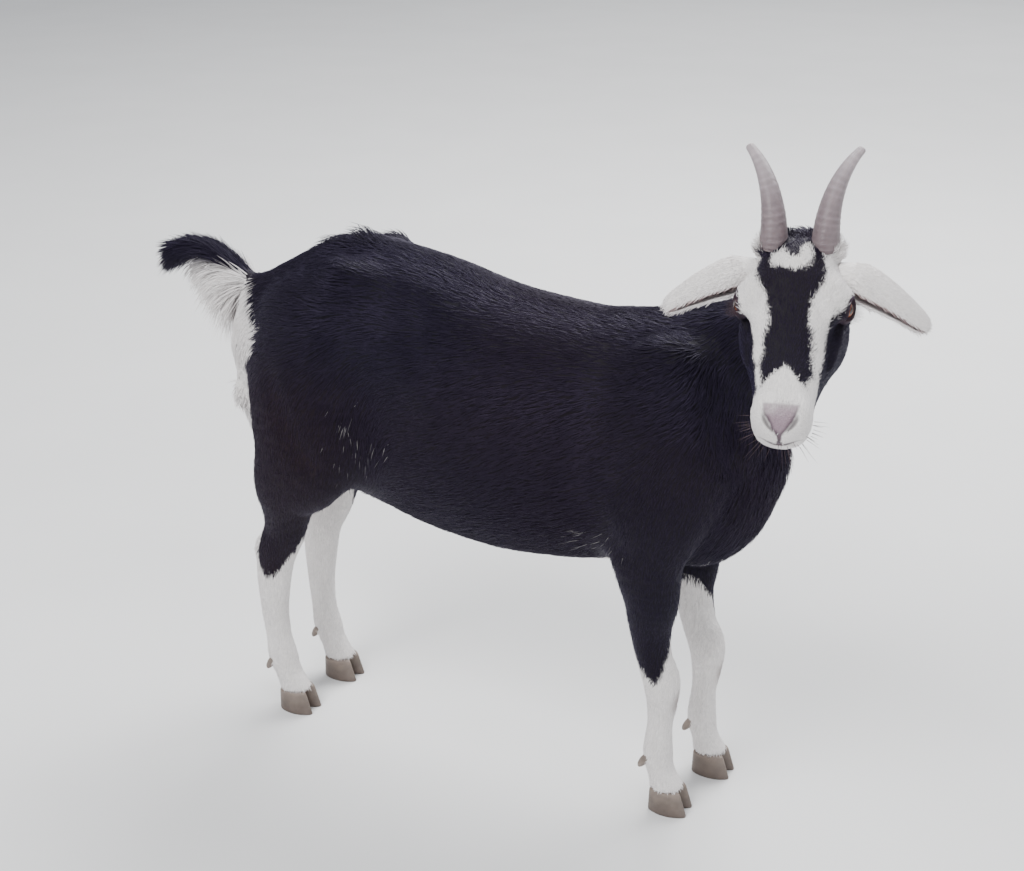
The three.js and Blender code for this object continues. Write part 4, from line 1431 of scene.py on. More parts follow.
    def _open_lids(self, p: Array, side: int) -> Array:
        """Sinks the skin behind the eyeball inside the lids' opening."""
        q = to_head(p)
        centre = eye_centre(side)
        local = (q - centre) @ self.eye_axes(side).T
        u = local[:, 0] / (EYE.length / 2)
        top, bottom = self.almond(np.clip(u, -1, 1))
        inside = np.minimum(top - local[:, 1], local[:, 1] - bottom) - 4 * np.clip(np.abs(u) - 0.98, 0, 1)
        near = (local[:, 2] > 0) & (np.linalg.norm(local, axis=1) < 24)
        sunk = smoothstep(-0.5, 0.7, inside) * near
        target = centre + unit(q - centre) * (EYE.radius - 3)
        return from_head(q + (target - q) * sunk[:, None])

    def _slit_shade_and_lid_edges(self, p: Array, colours: Array) -> Array:
        """Paints shade into the nostrils, the line of the mouth and the cleft of the lip, and darkens the
        lids' edges, whose skin is dark.
        """
        dark = np.zeros(len(p))
        # Painted shade: the narrow grooves of the nostrils, the mouth and the lip's cleft take the slit
        # colour.
        for hollow in self.flesh.fine_hollows:
            if isinstance(hollow.shape, Limb) and hollow.reach <= 3:
                dark = np.maximum(dark, smoothstep(1.2, -0.4, hollow(p)))
        q = to_head(p)
        # The lids' edges: dark bare skin round each eye.
        for side in (-1, 1):
            local = (q - eye_centre(side)) @ self.eye_axes(side).T
            around = np.hypot(local[:, 0] / 17.5, local[:, 1] / 11.5)
            dark = np.maximum(dark, smoothstep(1.08, 0.9, around) * (local[:, 2] > 0))
        return colours + (COLOURS.slit - colours) * dark[:, None]

    @staticmethod
    def standing(q: Array) -> Array:
        """Where the hair of the head stands up: round the bases of the horns and between them."""
        ring = smoothstep(25, 19, np.hypot((q[:, 0] - 22) / 1.15, np.abs(q[:, 1]) - 28))
        poll = 0.7 * np.exp(-(((q[:, 0] - 8) / 18) ** 2) - (q[:, 1] / 15) ** 2)
        return np.clip(ring + poll, 0, 1) * smoothstep(12, 24, q[:, 2])

    def density(self, shares: Array, centres: Array) -> Array:
        """Tufts for each square millimetre, from each region's spacing."""
        spacing = shares @ np.array([3.55, 3.4, 2.35, 2.9, 2.9, 3.0])
        q = to_head(centres)
        made = (1 + 1.2 * self.standing(q) * (shares[:, Region.HEAD.value] > 0.3)) / spacing**2
        made[nose_share(centres) > 0.4] = 0
        for side in (-1, 1):
            local = (q - eye_centre(side)) @ self.eye_axes(side).T
            lids = np.hypot(local[:, 0] / 16.5, local[:, 1] / 10.5) < 1
            made[lids & (local[:, 2] > 0) & (np.abs(local[:, 2]) < 25)] = 0
        for hollow in self.flesh.fine_hollows:
            if isinstance(hollow.shape, Limb) and hollow.reach <= 3:
                made[hollow(centres) < 1.0] = 0
        made[centres[:, 2] < CORONET - 4] = 0
        return made

    def build_coat(self) -> list[bpy.types.Object]:
        """The tufts of the coat in pieces, one for each part of the body.

        Returns:
            The objects.
        """
        v, t = self.shell.vertices, self.triangles
        centres = v[t].mean(1)
        shares_at = self.flesh.shares(centres)
        p, normal, at = sample(v, t, self.density(shares_at, centres), 21)
        shares = shares_at[at]
        lie = lie_of_coat(p, normal, shares)
        draw = np.random.default_rng(5)
        q = to_head(p)
        length = shares @ np.array([23.0, 22.0, 7.5, 12.0, 12.5, 20.0])
        shin = smoothstep(330, 180, p[:, 2]) * (shares[:, 3] + shares[:, 4])
        muzzle = smoothstep(150, 225, q[:, 0]) * shares[:, 2]
        length = length * (1 - 0.3 * shin) * (1 - 0.45 * muzzle) * draw.uniform(0.7, 1.2, len(p))
        width = shares @ np.array([1.7, 1.6, 0.95, 1.15, 1.15, 1.6]) * draw.uniform(0.7, 1.25, len(p))
        ruffled = 0.55 * np.exp(-(np.linalg.norm((p - (-166, -4, 742)) / (27, 24, 22), axis=1) ** 2))
        ruffled += 0.35 * np.exp(-(np.linalg.norm((p - (-226, 0, 738)) / (16, 18, 18), axis=1) ** 2))
        stand = self.standing(q) * (shares[:, Region.HEAD.value] > 0.3)
        climb = smoothstep(28, 21, np.hypot(q[:, 0] - 22, np.abs(q[:, 1]) - 28)) * smoothstep(33, 40, q[:, 2])
        climb = (climb * (shares[:, Region.HEAD.value] > 0.3))[:, None]
        lie = unit(lie + climb * (3 * HEAD_AXES @ np.array([-0.41, 0, 0.91]) - lie))
        lie = unit(lie - normal * (normal * lie).sum(1, keepdims=True))
        stand = stand * (1 - climb[:, 0])
        length = length + 10 * ruffled + 5 * stand
        lift = shares @ np.array([0.04, 0.045, 0.045, 0.035, 0.04, 0.06])
        lift = lift * draw.uniform(0.5, 1.6, len(p)) + ruffled * draw.uniform(0.4, 1.3, len(p)) + 0.5 * stand
        lie = unit(lie + 0.12 * np.cross(normal, lie) * draw.normal(0, 1, (len(p), 1)))
        colours = coat_colour(p, shares, 8)
        pale = draw.random(len(p)) < pale_hairs(p)
        colours[pale] += (COLOURS.white * 0.36 - colours[pale]) * draw.uniform(0.3, 0.8, (pale.sum(), 1))
        width[pale] *= 0.5
        length[pale] *= 1.25
        made = []
        for name, mine, roots in self._parts(p, q, shares):
            given = [a[mine] for a in (p, normal, lie, length, width, lift, colours)]
            tufts = short_tufts(*given, roots[mine])
            made.append(tufts.build(name))
        return made

    @staticmethod
    def _parts(p: Array, q: Array, shares: Array) -> list[tuple[str, Array, Array]]:
        """Each coat piece's name, its tufts, and the roots' places on an unwrap of that part."""
        region = shares.argmax(1)
        round_at = lambda u, v: np.arctan2(u, v) / (2 * np.pi) + 0.5
        along = lambda x, low, high: np.clip((x - low) / (high - low), 0, 1)
        body = np.stack([along(p[:, 0], -440, 450), round_at(p[:, 1], p[:, 2] - 520)], 1)
        made = []
        trunk = (region == Region.TRUNK.value) | (region == Region.TAIL.value)
        for way, half in (("right", p[:, 1] < 0), ("left", p[:, 1] >= 0)):
            for end, part in (("rear", p[:, 0] < -60), ("front", p[:, 0] >= -60)):
                made.append((f"coat_trunk_{way}_{end}", trunk & half & part, body))
        neck = np.stack([along(p[:, 2], 520, 900), round_at(p[:, 1] + 30, p[:, 0] - 390)], 1)
        made.append(("coat_neck", region == Region.NECK.value, neck))
        head = np.stack([along(q[:, 0], -20, 262), round_at(q[:, 1], q[:, 2] + 15)], 1)
        made.append(("coat_head", region == Region.HEAD.value, head))
        for name, joints in LEGS.items():
            rows = smooth_rows(joints, 4)[::-1]
            xc = np.interp(p[:, 2], rows[:, 2], rows[:, 0])
            yc = np.interp(p[:, 2], rows[:, 2], rows[:, 1])
            leg = np.stack([along(p[:, 2], 20, 620), round_at(p[:, 1] - yc, p[:, 0] - xc)], 1)
            kind = Region.FORELEG if name.startswith("fore") else Region.HINDLEG
            mine = (region == kind.value) & ((p[:, 1] > 0) == name.endswith("left"))
            made.append((f"coat_{name}", mine, leg))
        return made


@dataclass
class Eyes:
    """The eyeballs, each with its level pupil, and the moist margins of the lids."""

    rings: int = 44
    sides: int = 72
    pupil: tuple = (4.7, 1.7)
    iris: float = 9.4

    def build_ball(self, side: int, name: str) -> bpy.types.Object:
        """One eyeball, its cornea bulging a little.

        Args:
            side: 1 for her left, -1 for her right.
            name: the object's name.

        Returns:
            The object.
        """
        along, rising, out = Body.eye_axes(side)
        theta = np.linspace(0.012, math.pi - 0.012, self.rings)
        theta = math.pi * (theta / math.pi) ** 1.35
        phi = np.linspace(0, 2 * np.pi, self.sides, endpoint=False)
        radius = EYE.radius - 0.45 + 0.5 * smoothstep(0.75, 0.3, theta)
        a = radius[:, None] * np.sin(theta)[:, None] * np.cos(phi)
        b = radius[:, None] * np.sin(theta)[:, None] * np.sin(phi)
        c = (radius * np.cos(theta))[:, None] * np.ones(self.sides)
        centre = eye_centre(side)
        rings = centre + a[..., None] * along + b[..., None] * rising + c[..., None] * out
        vertices, faces = loft(from_head(rings))
        made = mesh_object(name, vertices, turned_out(vertices, faces))
        flat = np.vstack([np.stack([a, b, c], -1).reshape(-1, 3), [[0, 0, 13], [0, 0, -13]]])
        paint(made, self.colours(flat))
        return made

    def colours(self, p: Array) -> Array:
        """The colours of pupil, iris and the white that hardly shows."""
        rad = np.hypot(p[:, 0], p[:, 1])
        angle = np.arctan2(p[:, 1], p[:, 0])
        spokes = 0.5 + 0.5 * np.sin(angle * 37 + 2 * np.sin(angle * 11))
        amber = srgb("#874820") + (srgb("#4f240f") - srgb("#874820")) * (0.6 * spokes)[:, None]
        inner = smoothstep(2.0, 5.0, rad)[:, None]
        amber = srgb("#5e2c13") + (amber - srgb("#5e2c13")) * inner
        rim = smoothstep(self.iris - 2.2, self.iris - 0.2, rad)[:, None]
        made = amber + (srgb("#24120c") - amber) * rim
        outer = smoothstep(self.iris, self.iris + 1.2, rad)[:, None]
        made = made + (srgb("#4a2f2a") - made) * outer
        bar = (np.abs(p[:, 0]) / self.pupil[0]) ** 4 + (np.abs(p[:, 1]) / self.pupil[1]) ** 4
        dark = smoothstep(1.25, 0.8, bar)[:, None]
        made = made + (srgb("#06050a") - made) * dark
        return np.where(p[:, 2:3] > 0, made, srgb("#4a2f2a"))

    def build_lids(self, side: int, name: str) -> bpy.types.Object:
        """The bare dark margin round one eye, a thin roll on the edge of the lids.

        Args:
            side: 1 for her left, -1 for her right.
            name: the object's name.

        Returns:
            The object.
        """
        axes = Body.eye_axes(side)
        centre = eye_centre(side)
        half = EYE.length / 2
        u = np.cos(np.linspace(0, 2 * np.pi, 72, endpoint=False))
        top, bottom = Body.almond(u)
        upper = np.sin(np.linspace(0, 2 * np.pi, 72, endpoint=False)) >= 0
        b = np.where(upper, top, bottom)
        flat = np.stack([u * half, b], 1)
        outward = np.sqrt(np.maximum((EYE.radius + 0.75) ** 2 - (flat**2).sum(1), 4))
        local = np.column_stack([flat, outward])
        points = centre + local @ axes
        points = np.vstack([points, points[:1]])
        radii = np.where(np.append(upper, True), 1.25, 0.95) * np.ones(73)
        rings = tube_rings(from_head(points), radii, 8, from_head(centre + axes[2]) - from_head(centre))
        rings[-1] = rings[0]
        vertices = rings[:-1].reshape(-1, 3)
        count = 72
        faces = [
            [r * 8 + i, r * 8 + (i + 1) % 8, (r + 1) % count * 8 + (i + 1) % 8, (r + 1) % count * 8 + i]
            for r in range(count)
            for i in range(8)
        ]
        made = mesh_object(name, vertices, turned_out(vertices, faces))
        corner = smoothstep(0.80, 1.0, np.repeat(u, 8))[:, None]
        paint(made, COLOURS.lid + (srgb("#8a5f5f") - COLOURS.lid) * corner)
        return made


@dataclass
class Ears:
    """Short ears held out level: each a leaf folded along its length, its lower half showing the lining."""

    x: float = 44
    y: float = 42
    z: float = 15
    length: float = 138
    half: float = 33
    wall: float = 2.6
    rings: int = 46
    spread: tuple = (0.76, 0.73)
    droop: tuple = ((0.08, 0.27), (0.14, 0.29))
    section: tuple = (
        (0.66, 0.02), (0.34, 0.44), (-0.20, 0.60), (-0.70, 0.30),
        (-0.76, -0.10), (-0.42, -0.42), (0.14, -0.54), (0.70, -0.36),
    )
    swell_at: tuple = (0, 0.1, 0.22, 0.32, 0.45, 0.6, 0.74, 0.86, 0.94, 0.985, 1)
    swell: tuple = (0.5, 0.72, 0.95, 1.0, 0.95, 0.86, 0.75, 0.64, 0.52, 0.34, 0.06)

    def walls(self, side: int) -> tuple[Array, Array, Array]:
        """The outer and inner walls of one ear, and the way that it points, in the design frame.

        Args:
            side: 1 for her left, -1 for her right.

        Returns:
            The rings of each wall, and a direction for each ring.
        """
        which = (1 + side) // 2
        t = np.linspace(0, 1, self.rings)
        a, b = self.droop[which]
        path = np.stack([
            self.x + self.length * t * (0.22 - 0.05 * t),
            side * (self.y + self.length * t * self.spread[which]),
            self.z - self.length * (a * t + b * t * t),
        ], 1)
        along = unit(np.gradient(path, axis=0))
        fore = np.array([1.0, 0, 0]) - along * along[:, :1]
        fore = unit(fore)
        rise = unit(np.cross(along, fore))
        rise = rise * np.sign(rise[:, 2:])
        flat = smooth_rows([[u, v, 0] for u, v in self.section], 8)[:, :2]
        away = np.gradient(flat, axis=0)
        away = unit(np.stack([away[:, 1], -away[:, 0]], 1))
        away = away * np.sign((away * (flat - (0.1, 0.05))).sum(1))[:, None]
        half = self.half * np.interp(t, self.swell_at, self.swell)
        wall = np.minimum(self.wall, half * 0.3)
        ripple = 1 + 0.04 * np.sin(np.linspace(0, 7, len(flat)))[None] * np.sin(5 * t + 1)[:, None]
        outer = half[:, None, None] * flat[None] * ripple[..., None]
        inner = outer - wall[:, None, None] * away[None]
        made = [
            from_head(path[:, None] + w[..., :1] * 0.95 * fore[:, None] + w[..., 1:] * 0.80 * rise[:, None])
            for w in (outer, inner)
        ]
        return made[0], made[1], along @ HEAD_AXES.T

    def build(self, side: int, name: str) -> tuple[bpy.types.Object, bpy.types.Object]:
        """One ear and its coat.

        Args:
            side: 1 for her left, -1 for her right.
            name: left or right.

        Returns:
            The skin of the ear and its tufts.
        """
        outer, inner, along = self.walls(side)
        rings = np.concatenate([outer, inner[:, ::-1]], 1)
        vertices, faces = loft(rings)
        faces = turned_out(vertices, faces)
        made = mesh_object("ear_skin_" + name, vertices, faces)
        per = outer.shape[1]
        t = np.repeat(np.linspace(0, 1, self.rings), 2 * per)
        place = np.tile(np.arange(2 * per), self.rings)
        colours = self.colours(t, place, per, vertices[: len(t)])
        paint(made, np.vstack([colours, colours[:1], colours[-1:]]))
        sides = [f for f in faces if len(f) == 4]
        triangles = np.array([[f[0], f[k], f[k + 1]] for f in sides for k in (1, 2)])
        p, normal, at = sample(vertices, triangles, np.full(len(triangles), 1 / 2.1**2), 40 + side)
        first = triangles[at].min(1)
        ring, place = first // (2 * per), first % (2 * per)
        inside = place >= per
        share = ring / self.rings
        middle = (outer[ring].mean(1) + inner[ring].mean(1)) / 2
        edge = smoothstep(9, 1, np.minimum(place % per, per - 1 - place % per).astype(float))[:, None]
        draw = np.random.default_rng(60 + side)
        lie = along[ring] + 0.45 * edge * unit(p - middle) + 0.14 * draw.normal(0, 1, p.shape)
        lie = unit(lie - normal * (normal * lie).sum(1, keepdims=True))
        # The tufts take the skin's colours, the painted shade line along the front edge among them.
        tone = colours[triangles[at, 1]] * draw.uniform(0.86, 1.05, (len(p), 1))
        length = np.where(inside, 5.0, 7.0) * draw.uniform(0.7, 1.25, len(p))
        width = np.where(inside, 0.7, 1.0) * draw.uniform(0.75, 1.2, len(p))
        lift = draw.uniform(0.02, 0.09, len(p)) + 0.08 * edge[:, 0]
        roots = np.stack([share, (place + draw.random(len(p))) / (2 * per)], 1)
        keep = (share > 0.10) & (~inside | (draw.random(len(p)) < 0.45))
        tufts = short_tufts(*[a[keep] for a in (p, normal, lie, length, width, lift, tone)], roots[keep])
        return made, tufts.build("coat_ear_" + name)

    @staticmethod
    def colours(t: Array, place: Array, per: int, p: Array) -> Array:
        """White outside, greyish pink inside, with a dark red line of painted shade along the front edge,
        where the lip of the fold lies in shadow.
        """
        at = place.astype(float)
        inside = smoothstep(per - 1, per + 7, at) * smoothstep(2 * per, 2 * per - 3, at)
        pale = (0.45 + 0.3 * wave(p, 9, 0.2))[:, None]
        lining = COLOURS.inner_ear + (COLOURS.white * 0.85 - COLOURS.inner_ear) * pale
        made = COLOURS.white + (lining - COLOURS.white) * inside[:, None]
        # Painted shade: a dark line along the front edge of the fold.
        front = np.minimum(place, 2 * per - 1 - place)
        line = smoothstep(2.4, 0.4, front.astype(float)) * smoothstep(0.10, 0.2, t) * smoothstep(1.0, 0.93, t)
        return made + (COLOURS.ear_edge_shade - made) * (0.9 * line)[:, None]


@dataclass
class Horns:
    """Horns that rise from the poll, bend back and part towards their tips."""

    x: float = 26
    y: float = 28
    z: float = 32
    length: float = 118
    wide: float = 14
    deep: float = 17
    tip: float = 0.26
    rings: int = 110
    sides: int = 28
    growth: int = 17

    def path(self, side: int) -> Array:
        """The middle line in the head's frame."""
        points = []
        point = np.array([self.x, side * self.y, self.z], float)
        step = self.length / 9
        for i in range(10):
            points.append(point)
            t = i / 9
            rise = math.radians(66 - 44 * t)
            splay = math.radians(44 * t**1.3)
            level = math.cos(splay)
            way = np.array([-math.cos(rise) * level, side * math.sin(splay), math.sin(rise) * level])
            point = point + step * way
        return smooth_rows([list(q) for q in points], 12)

    def build(self, side: int, name: str) -> bpy.types.Object:
        """One horn with its growth rings and a blunt tip.

        Args:
            side: 1 for her left, -1 for her right.
            name: the object's name.

        Returns:
            The object.
        """
        points = from_head(self.path(side))
        t = np.linspace(0, 1, len(points))
        radii = self.deep * (1 + (self.tip - 1) * t**1.25) - 0.5
        phase = 2 * np.pi * self.growth * t ** 0.85 + 0.6 * np.sin(9 * t)
        ridge = (0.5 + 0.5 * np.sin(phase)) ** 2 * (0.65 + 0.35 * np.sin(23 * t + 1))
        radii = radii * (1 - 0.035 * (1 - ridge) * (1 - t) ** 0.6)
        blunt = np.sqrt(np.clip(1 - ((t - 0.965) / 0.036) ** 2, 0.02, 1))
        radii = np.where(t > 0.965, radii * blunt, radii)
        up = from_head((1, 0, 0)) - from_head((0, 0, 0))
        rings = tube_rings(points, radii, self.sides, up, self.deep / self.wide)
        a = np.linspace(0, 2 * np.pi, self.sides, endpoint=False)
        keel = 1 + 0.05 * np.clip(np.cos(a - np.pi / 2), 0, 1) ** 6
        middle = rings.mean(1, keepdims=True)
        rings = middle + (rings - middle) * keel[None, :, None] / 1.02
        vertices, faces = loft(rings)
        made = mesh_object(name, vertices, turned_out(vertices, faces))
        # The horn pales towards its tip; painted shade darkens the grooves between the growth ridges, and the
        # tone is darker towards the base.
        base, end, groove_shade_and_dark_base = srgb("#84767a"), srgb("#aa9fa3"), srgb("#5c4e50")
        tone = base + (end - base) * smoothstep(0.25, 0.9, t)[:, None]
        tone = tone + (groove_shade_and_dark_base - tone) * (0.45 * (1 - ridge) * (1 - 0.6 * t))[:, None]
        tone = tone + (groove_shade_and_dark_base - tone) * (0.5 * smoothstep(0.12, 0.0, t))[:, None]
        colours = np.repeat(tone, self.sides, axis=0)
        paint(made, np.vstack([colours, colours[:1], colours[-1:]]))
        growth = np.repeat(t * 2 * np.pi * 90, self.sides)
        number_layer(made, "Growth", np.append(growth, [0, growth[-1]]))
        return made


@dataclass
class Hooves:
    """The two claws and the two dewclaws of each foot."""

    half_length: float = 28
    half_width: float = 11.4
    apart: float = 12.6
    lean: float = 5
    top_length: float = 22
    top_width: float = 10.6
    sides: int = 40
    levels: int = 15
    dew_height: float = 80
    dew_apart: float = 11
    dew_radius: float = 6.5
    dew_length: float = 18

    def claw(self, foot: list, way: int) -> Array:
        """The rings of one claw, its edges rounded and its wall rippled by growth."""
        rings = []
        a = np.linspace(0, 2 * np.pi, self.sides, endpoint=False)
        toe = np.clip(np.cos(a), 0, 1) ** 2
        for t in np.linspace(0, 1, self.levels):
            edge = 1 - 0.03 * max(0.0, 1 - t / 0.06) - 0.05 * max(0.0, (t - 0.93) / 0.07)
            ripple = 1 + 0.008 * math.sin(t * 34)
            long = (self.half_length + (self.top_length - self.half_length) * t - 0.2) * edge * ripple
            wide = (self.half_width + (self.top_width - self.half_width) * t - 0.2) * edge * ripple
            rings.append(np.stack([
                foot[0] + self.lean * (1 - t) + long * np.cos(a),
                foot[1] + way * self.apart + wide * np.sin(a) * (1 - 0.3 * toe),
                np.full(self.sides, CORONET * t),
            ], 1))
        return np.array(rings)

    def dewclaw(self, fetlock: Array, way: int) -> Array:
        """The rings of one dewclaw."""
        t = np.linspace(0, 1, 10)
        points = np.stack([
            fetlock[0] - (10 + self.dew_length * 0.75 * t),
            np.full(10, fetlock[1] + way * self.dew_apart),
            self.dew_height - self.dew_length * t**1.4,
        ], 1)
        radii = self.dew_radius * np.interp(t, (0, 0.5, 0.85, 1), (0.96, 0.93, 0.7, 0.32))
        return tube_rings(points, radii, 18, np.array([0, 0, 1.0]))

    def build(self, leg: str) -> bpy.types.Object:
        """All the horn of one foot.

        Args:
            leg: the leg's name.

        Returns:
            The object.
        """
        joints = LEGS[leg]
        rows = smooth_rows(joints, 4)[::-1]
        fetlock = np.array([np.interp(self.dew_height, rows[:, 2], rows[:, k]) for k in (0, 1)])
        vertices, faces, tones, lines = [], [], [], []
        start = 0
        for way in (-1, 1):
            for rings in (self.claw(joints[-1], way), self.dewclaw(fetlock, way)):
                v, f = loft(rings)
                f = turned_out(v, f)
                faces += [[n + start for n in face] for face in f]
                vertices.append(v)
                start += len(v)
                height = np.clip(v[:, 2] / CORONET, 0, 1)
                tone = srgb("#5a4e47") + (srgb("#8d7f74") - srgb("#5a4e47")) * (0.6 * height)[:, None]
                tones.append(tone * (1 + 0.15 * wave(v, 6, 0.4))[:, None])
                lines.append(v[:, 2] * 4.2)
        made = mesh_object("hooves_" + leg, np.vstack(vertices), faces)
        paint(made, np.vstack(tones))
        number_layer(made, "Growth", np.concatenate(lines))
        return made


@dataclass
class TailHair:
    """The long hair of the raised tail: black above and at its end, white and hanging below."""

    strands: int = 5200
    over: float = 42
    shares: tuple = (0.15, 0.4, 0.6, 0.8, 1.0)
    below: tuple = (74, 62, 46, 38, 46)
    leans: tuple = (2.2, 2.05, 1.7, 0.9, 0.1)
    rings: int = 5

    def dock(self) -> tuple[Array, list]:
        """The dock's own flesh as a closed tube, and its faces."""
        rows = smooth_rows(TAIL, 10)
        rings = tube_rings(rows[:, :3], rows[:, 3] * 0.86, 24, np.array([0, 0, 1.0]))
        vertices, faces = loft(rings)
        return vertices, turned_out(vertices, faces)

    def build(self) -> tuple[bpy.types.Object, bpy.types.Object]:
        """The dock and the hair.

        Returns:
            The two objects.
        """
        vertices, faces = self.dock()
        dock = mesh_object("tail_dock", vertices, faces)
        shares = np.zeros((len(vertices), 6))
        shares[:, Region.TAIL.value] = 1
        paint(dock, coat_colour(vertices, shares, 12))
        rows = smooth_rows(TAIL, 24)
        draw = np.random.default_rng(77)
        n = self.strands
        share = np.clip(0.16 + 0.86 * draw.random(n) ** 0.85, 0, 1)
        row = np.minimum((share * (len(rows) - 1)).astype(int), len(rows) - 2)
        along = unit(rows[row + 1, :3] - rows[row, :3])
        across = np.array([0, 1.0, 0])
        rise = unit(np.cross(across, along))
        angle = draw.uniform(-np.pi, np.pi, n)
        out = rise * np.cos(angle)[:, None] + across * np.sin(angle)[:, None]
        root = rows[row, :3] + out * (rows[row, 4] * 0.78)[:, None]
        hang = (1 - np.cos(angle)) / 2
        below = np.interp(share, self.shares, self.below)
        long = (self.over + (below - self.over) * hang) * draw.uniform(0.7, 1.03, n)
        edge = np.interp(root[:, 0], (-484, -455, -423, -384, -345), (676, 681, 676, 660, 652))
        ragged = draw.normal(0, 1.2, n) - 90 * smoothstep(-448, -460, root[:, 0])
        white = smoothstep(-2.0, 2.0, edge - root[:, 2] + ragged)
        lean = 0.12 + (np.interp(share, self.shares, self.leans) - 0.12) * hang * white
        lean = lean * draw.uniform(0.8, 1.12, n) + 0.04 * draw.normal(0, 1, n)
        fall = unit(out * (1 - 0.75 * hang)[:, None] - np.array([0, 0, 1.0]) * (0.9 * hang)[:, None])
        fall = unit(fall - along * (fall * along).sum(1, keepdims=True))
        way = along * np.cos(lean)[:, None] + fall * np.sin(lean)[:, None]
        way = unit(way + 0.08 * draw.normal(0, 1, (n, 3)))
        drop = 0.08 + 0.40 * hang
        t = np.linspace(0, 1, self.rings + 1)[None, :, None]
        path = root[:, None] + way[:, None] * long[:, None, None] * t
        path[..., 2] -= (drop * long)[:, None] * t[..., 0] ** 2
        path[..., 1] += (2.5 * draw.normal(0, 1, n))[:, None] * t[..., 0] ** 2
        heading = unit(np.gradient(path, axis=1))
        side = unit(np.cross(out[:, None] + 0 * heading, heading))
        lift = np.cross(heading, side)
        widths = draw.uniform(1.0, 2.0, n)[:, None] * np.array([0.9, 1.0, 0.95, 0.8, 0.5])[None]
        dark = COLOURS.black * draw.uniform(0.8, 1.5, (n, 1))
        light = COLOURS.white * draw.uniform(0.86, 1.0, (n, 1))
        colours = dark + (light - dark) * white[:, None]
        roots = np.stack([share, angle / (2 * np.pi) + 0.5], 1)
        strands = Strands(path[:, :-1], side[:, :-1], lift[:, :-1], widths, path[:, -1], colours, roots, 0.3)
        return dock, strands.build("tail_hair")


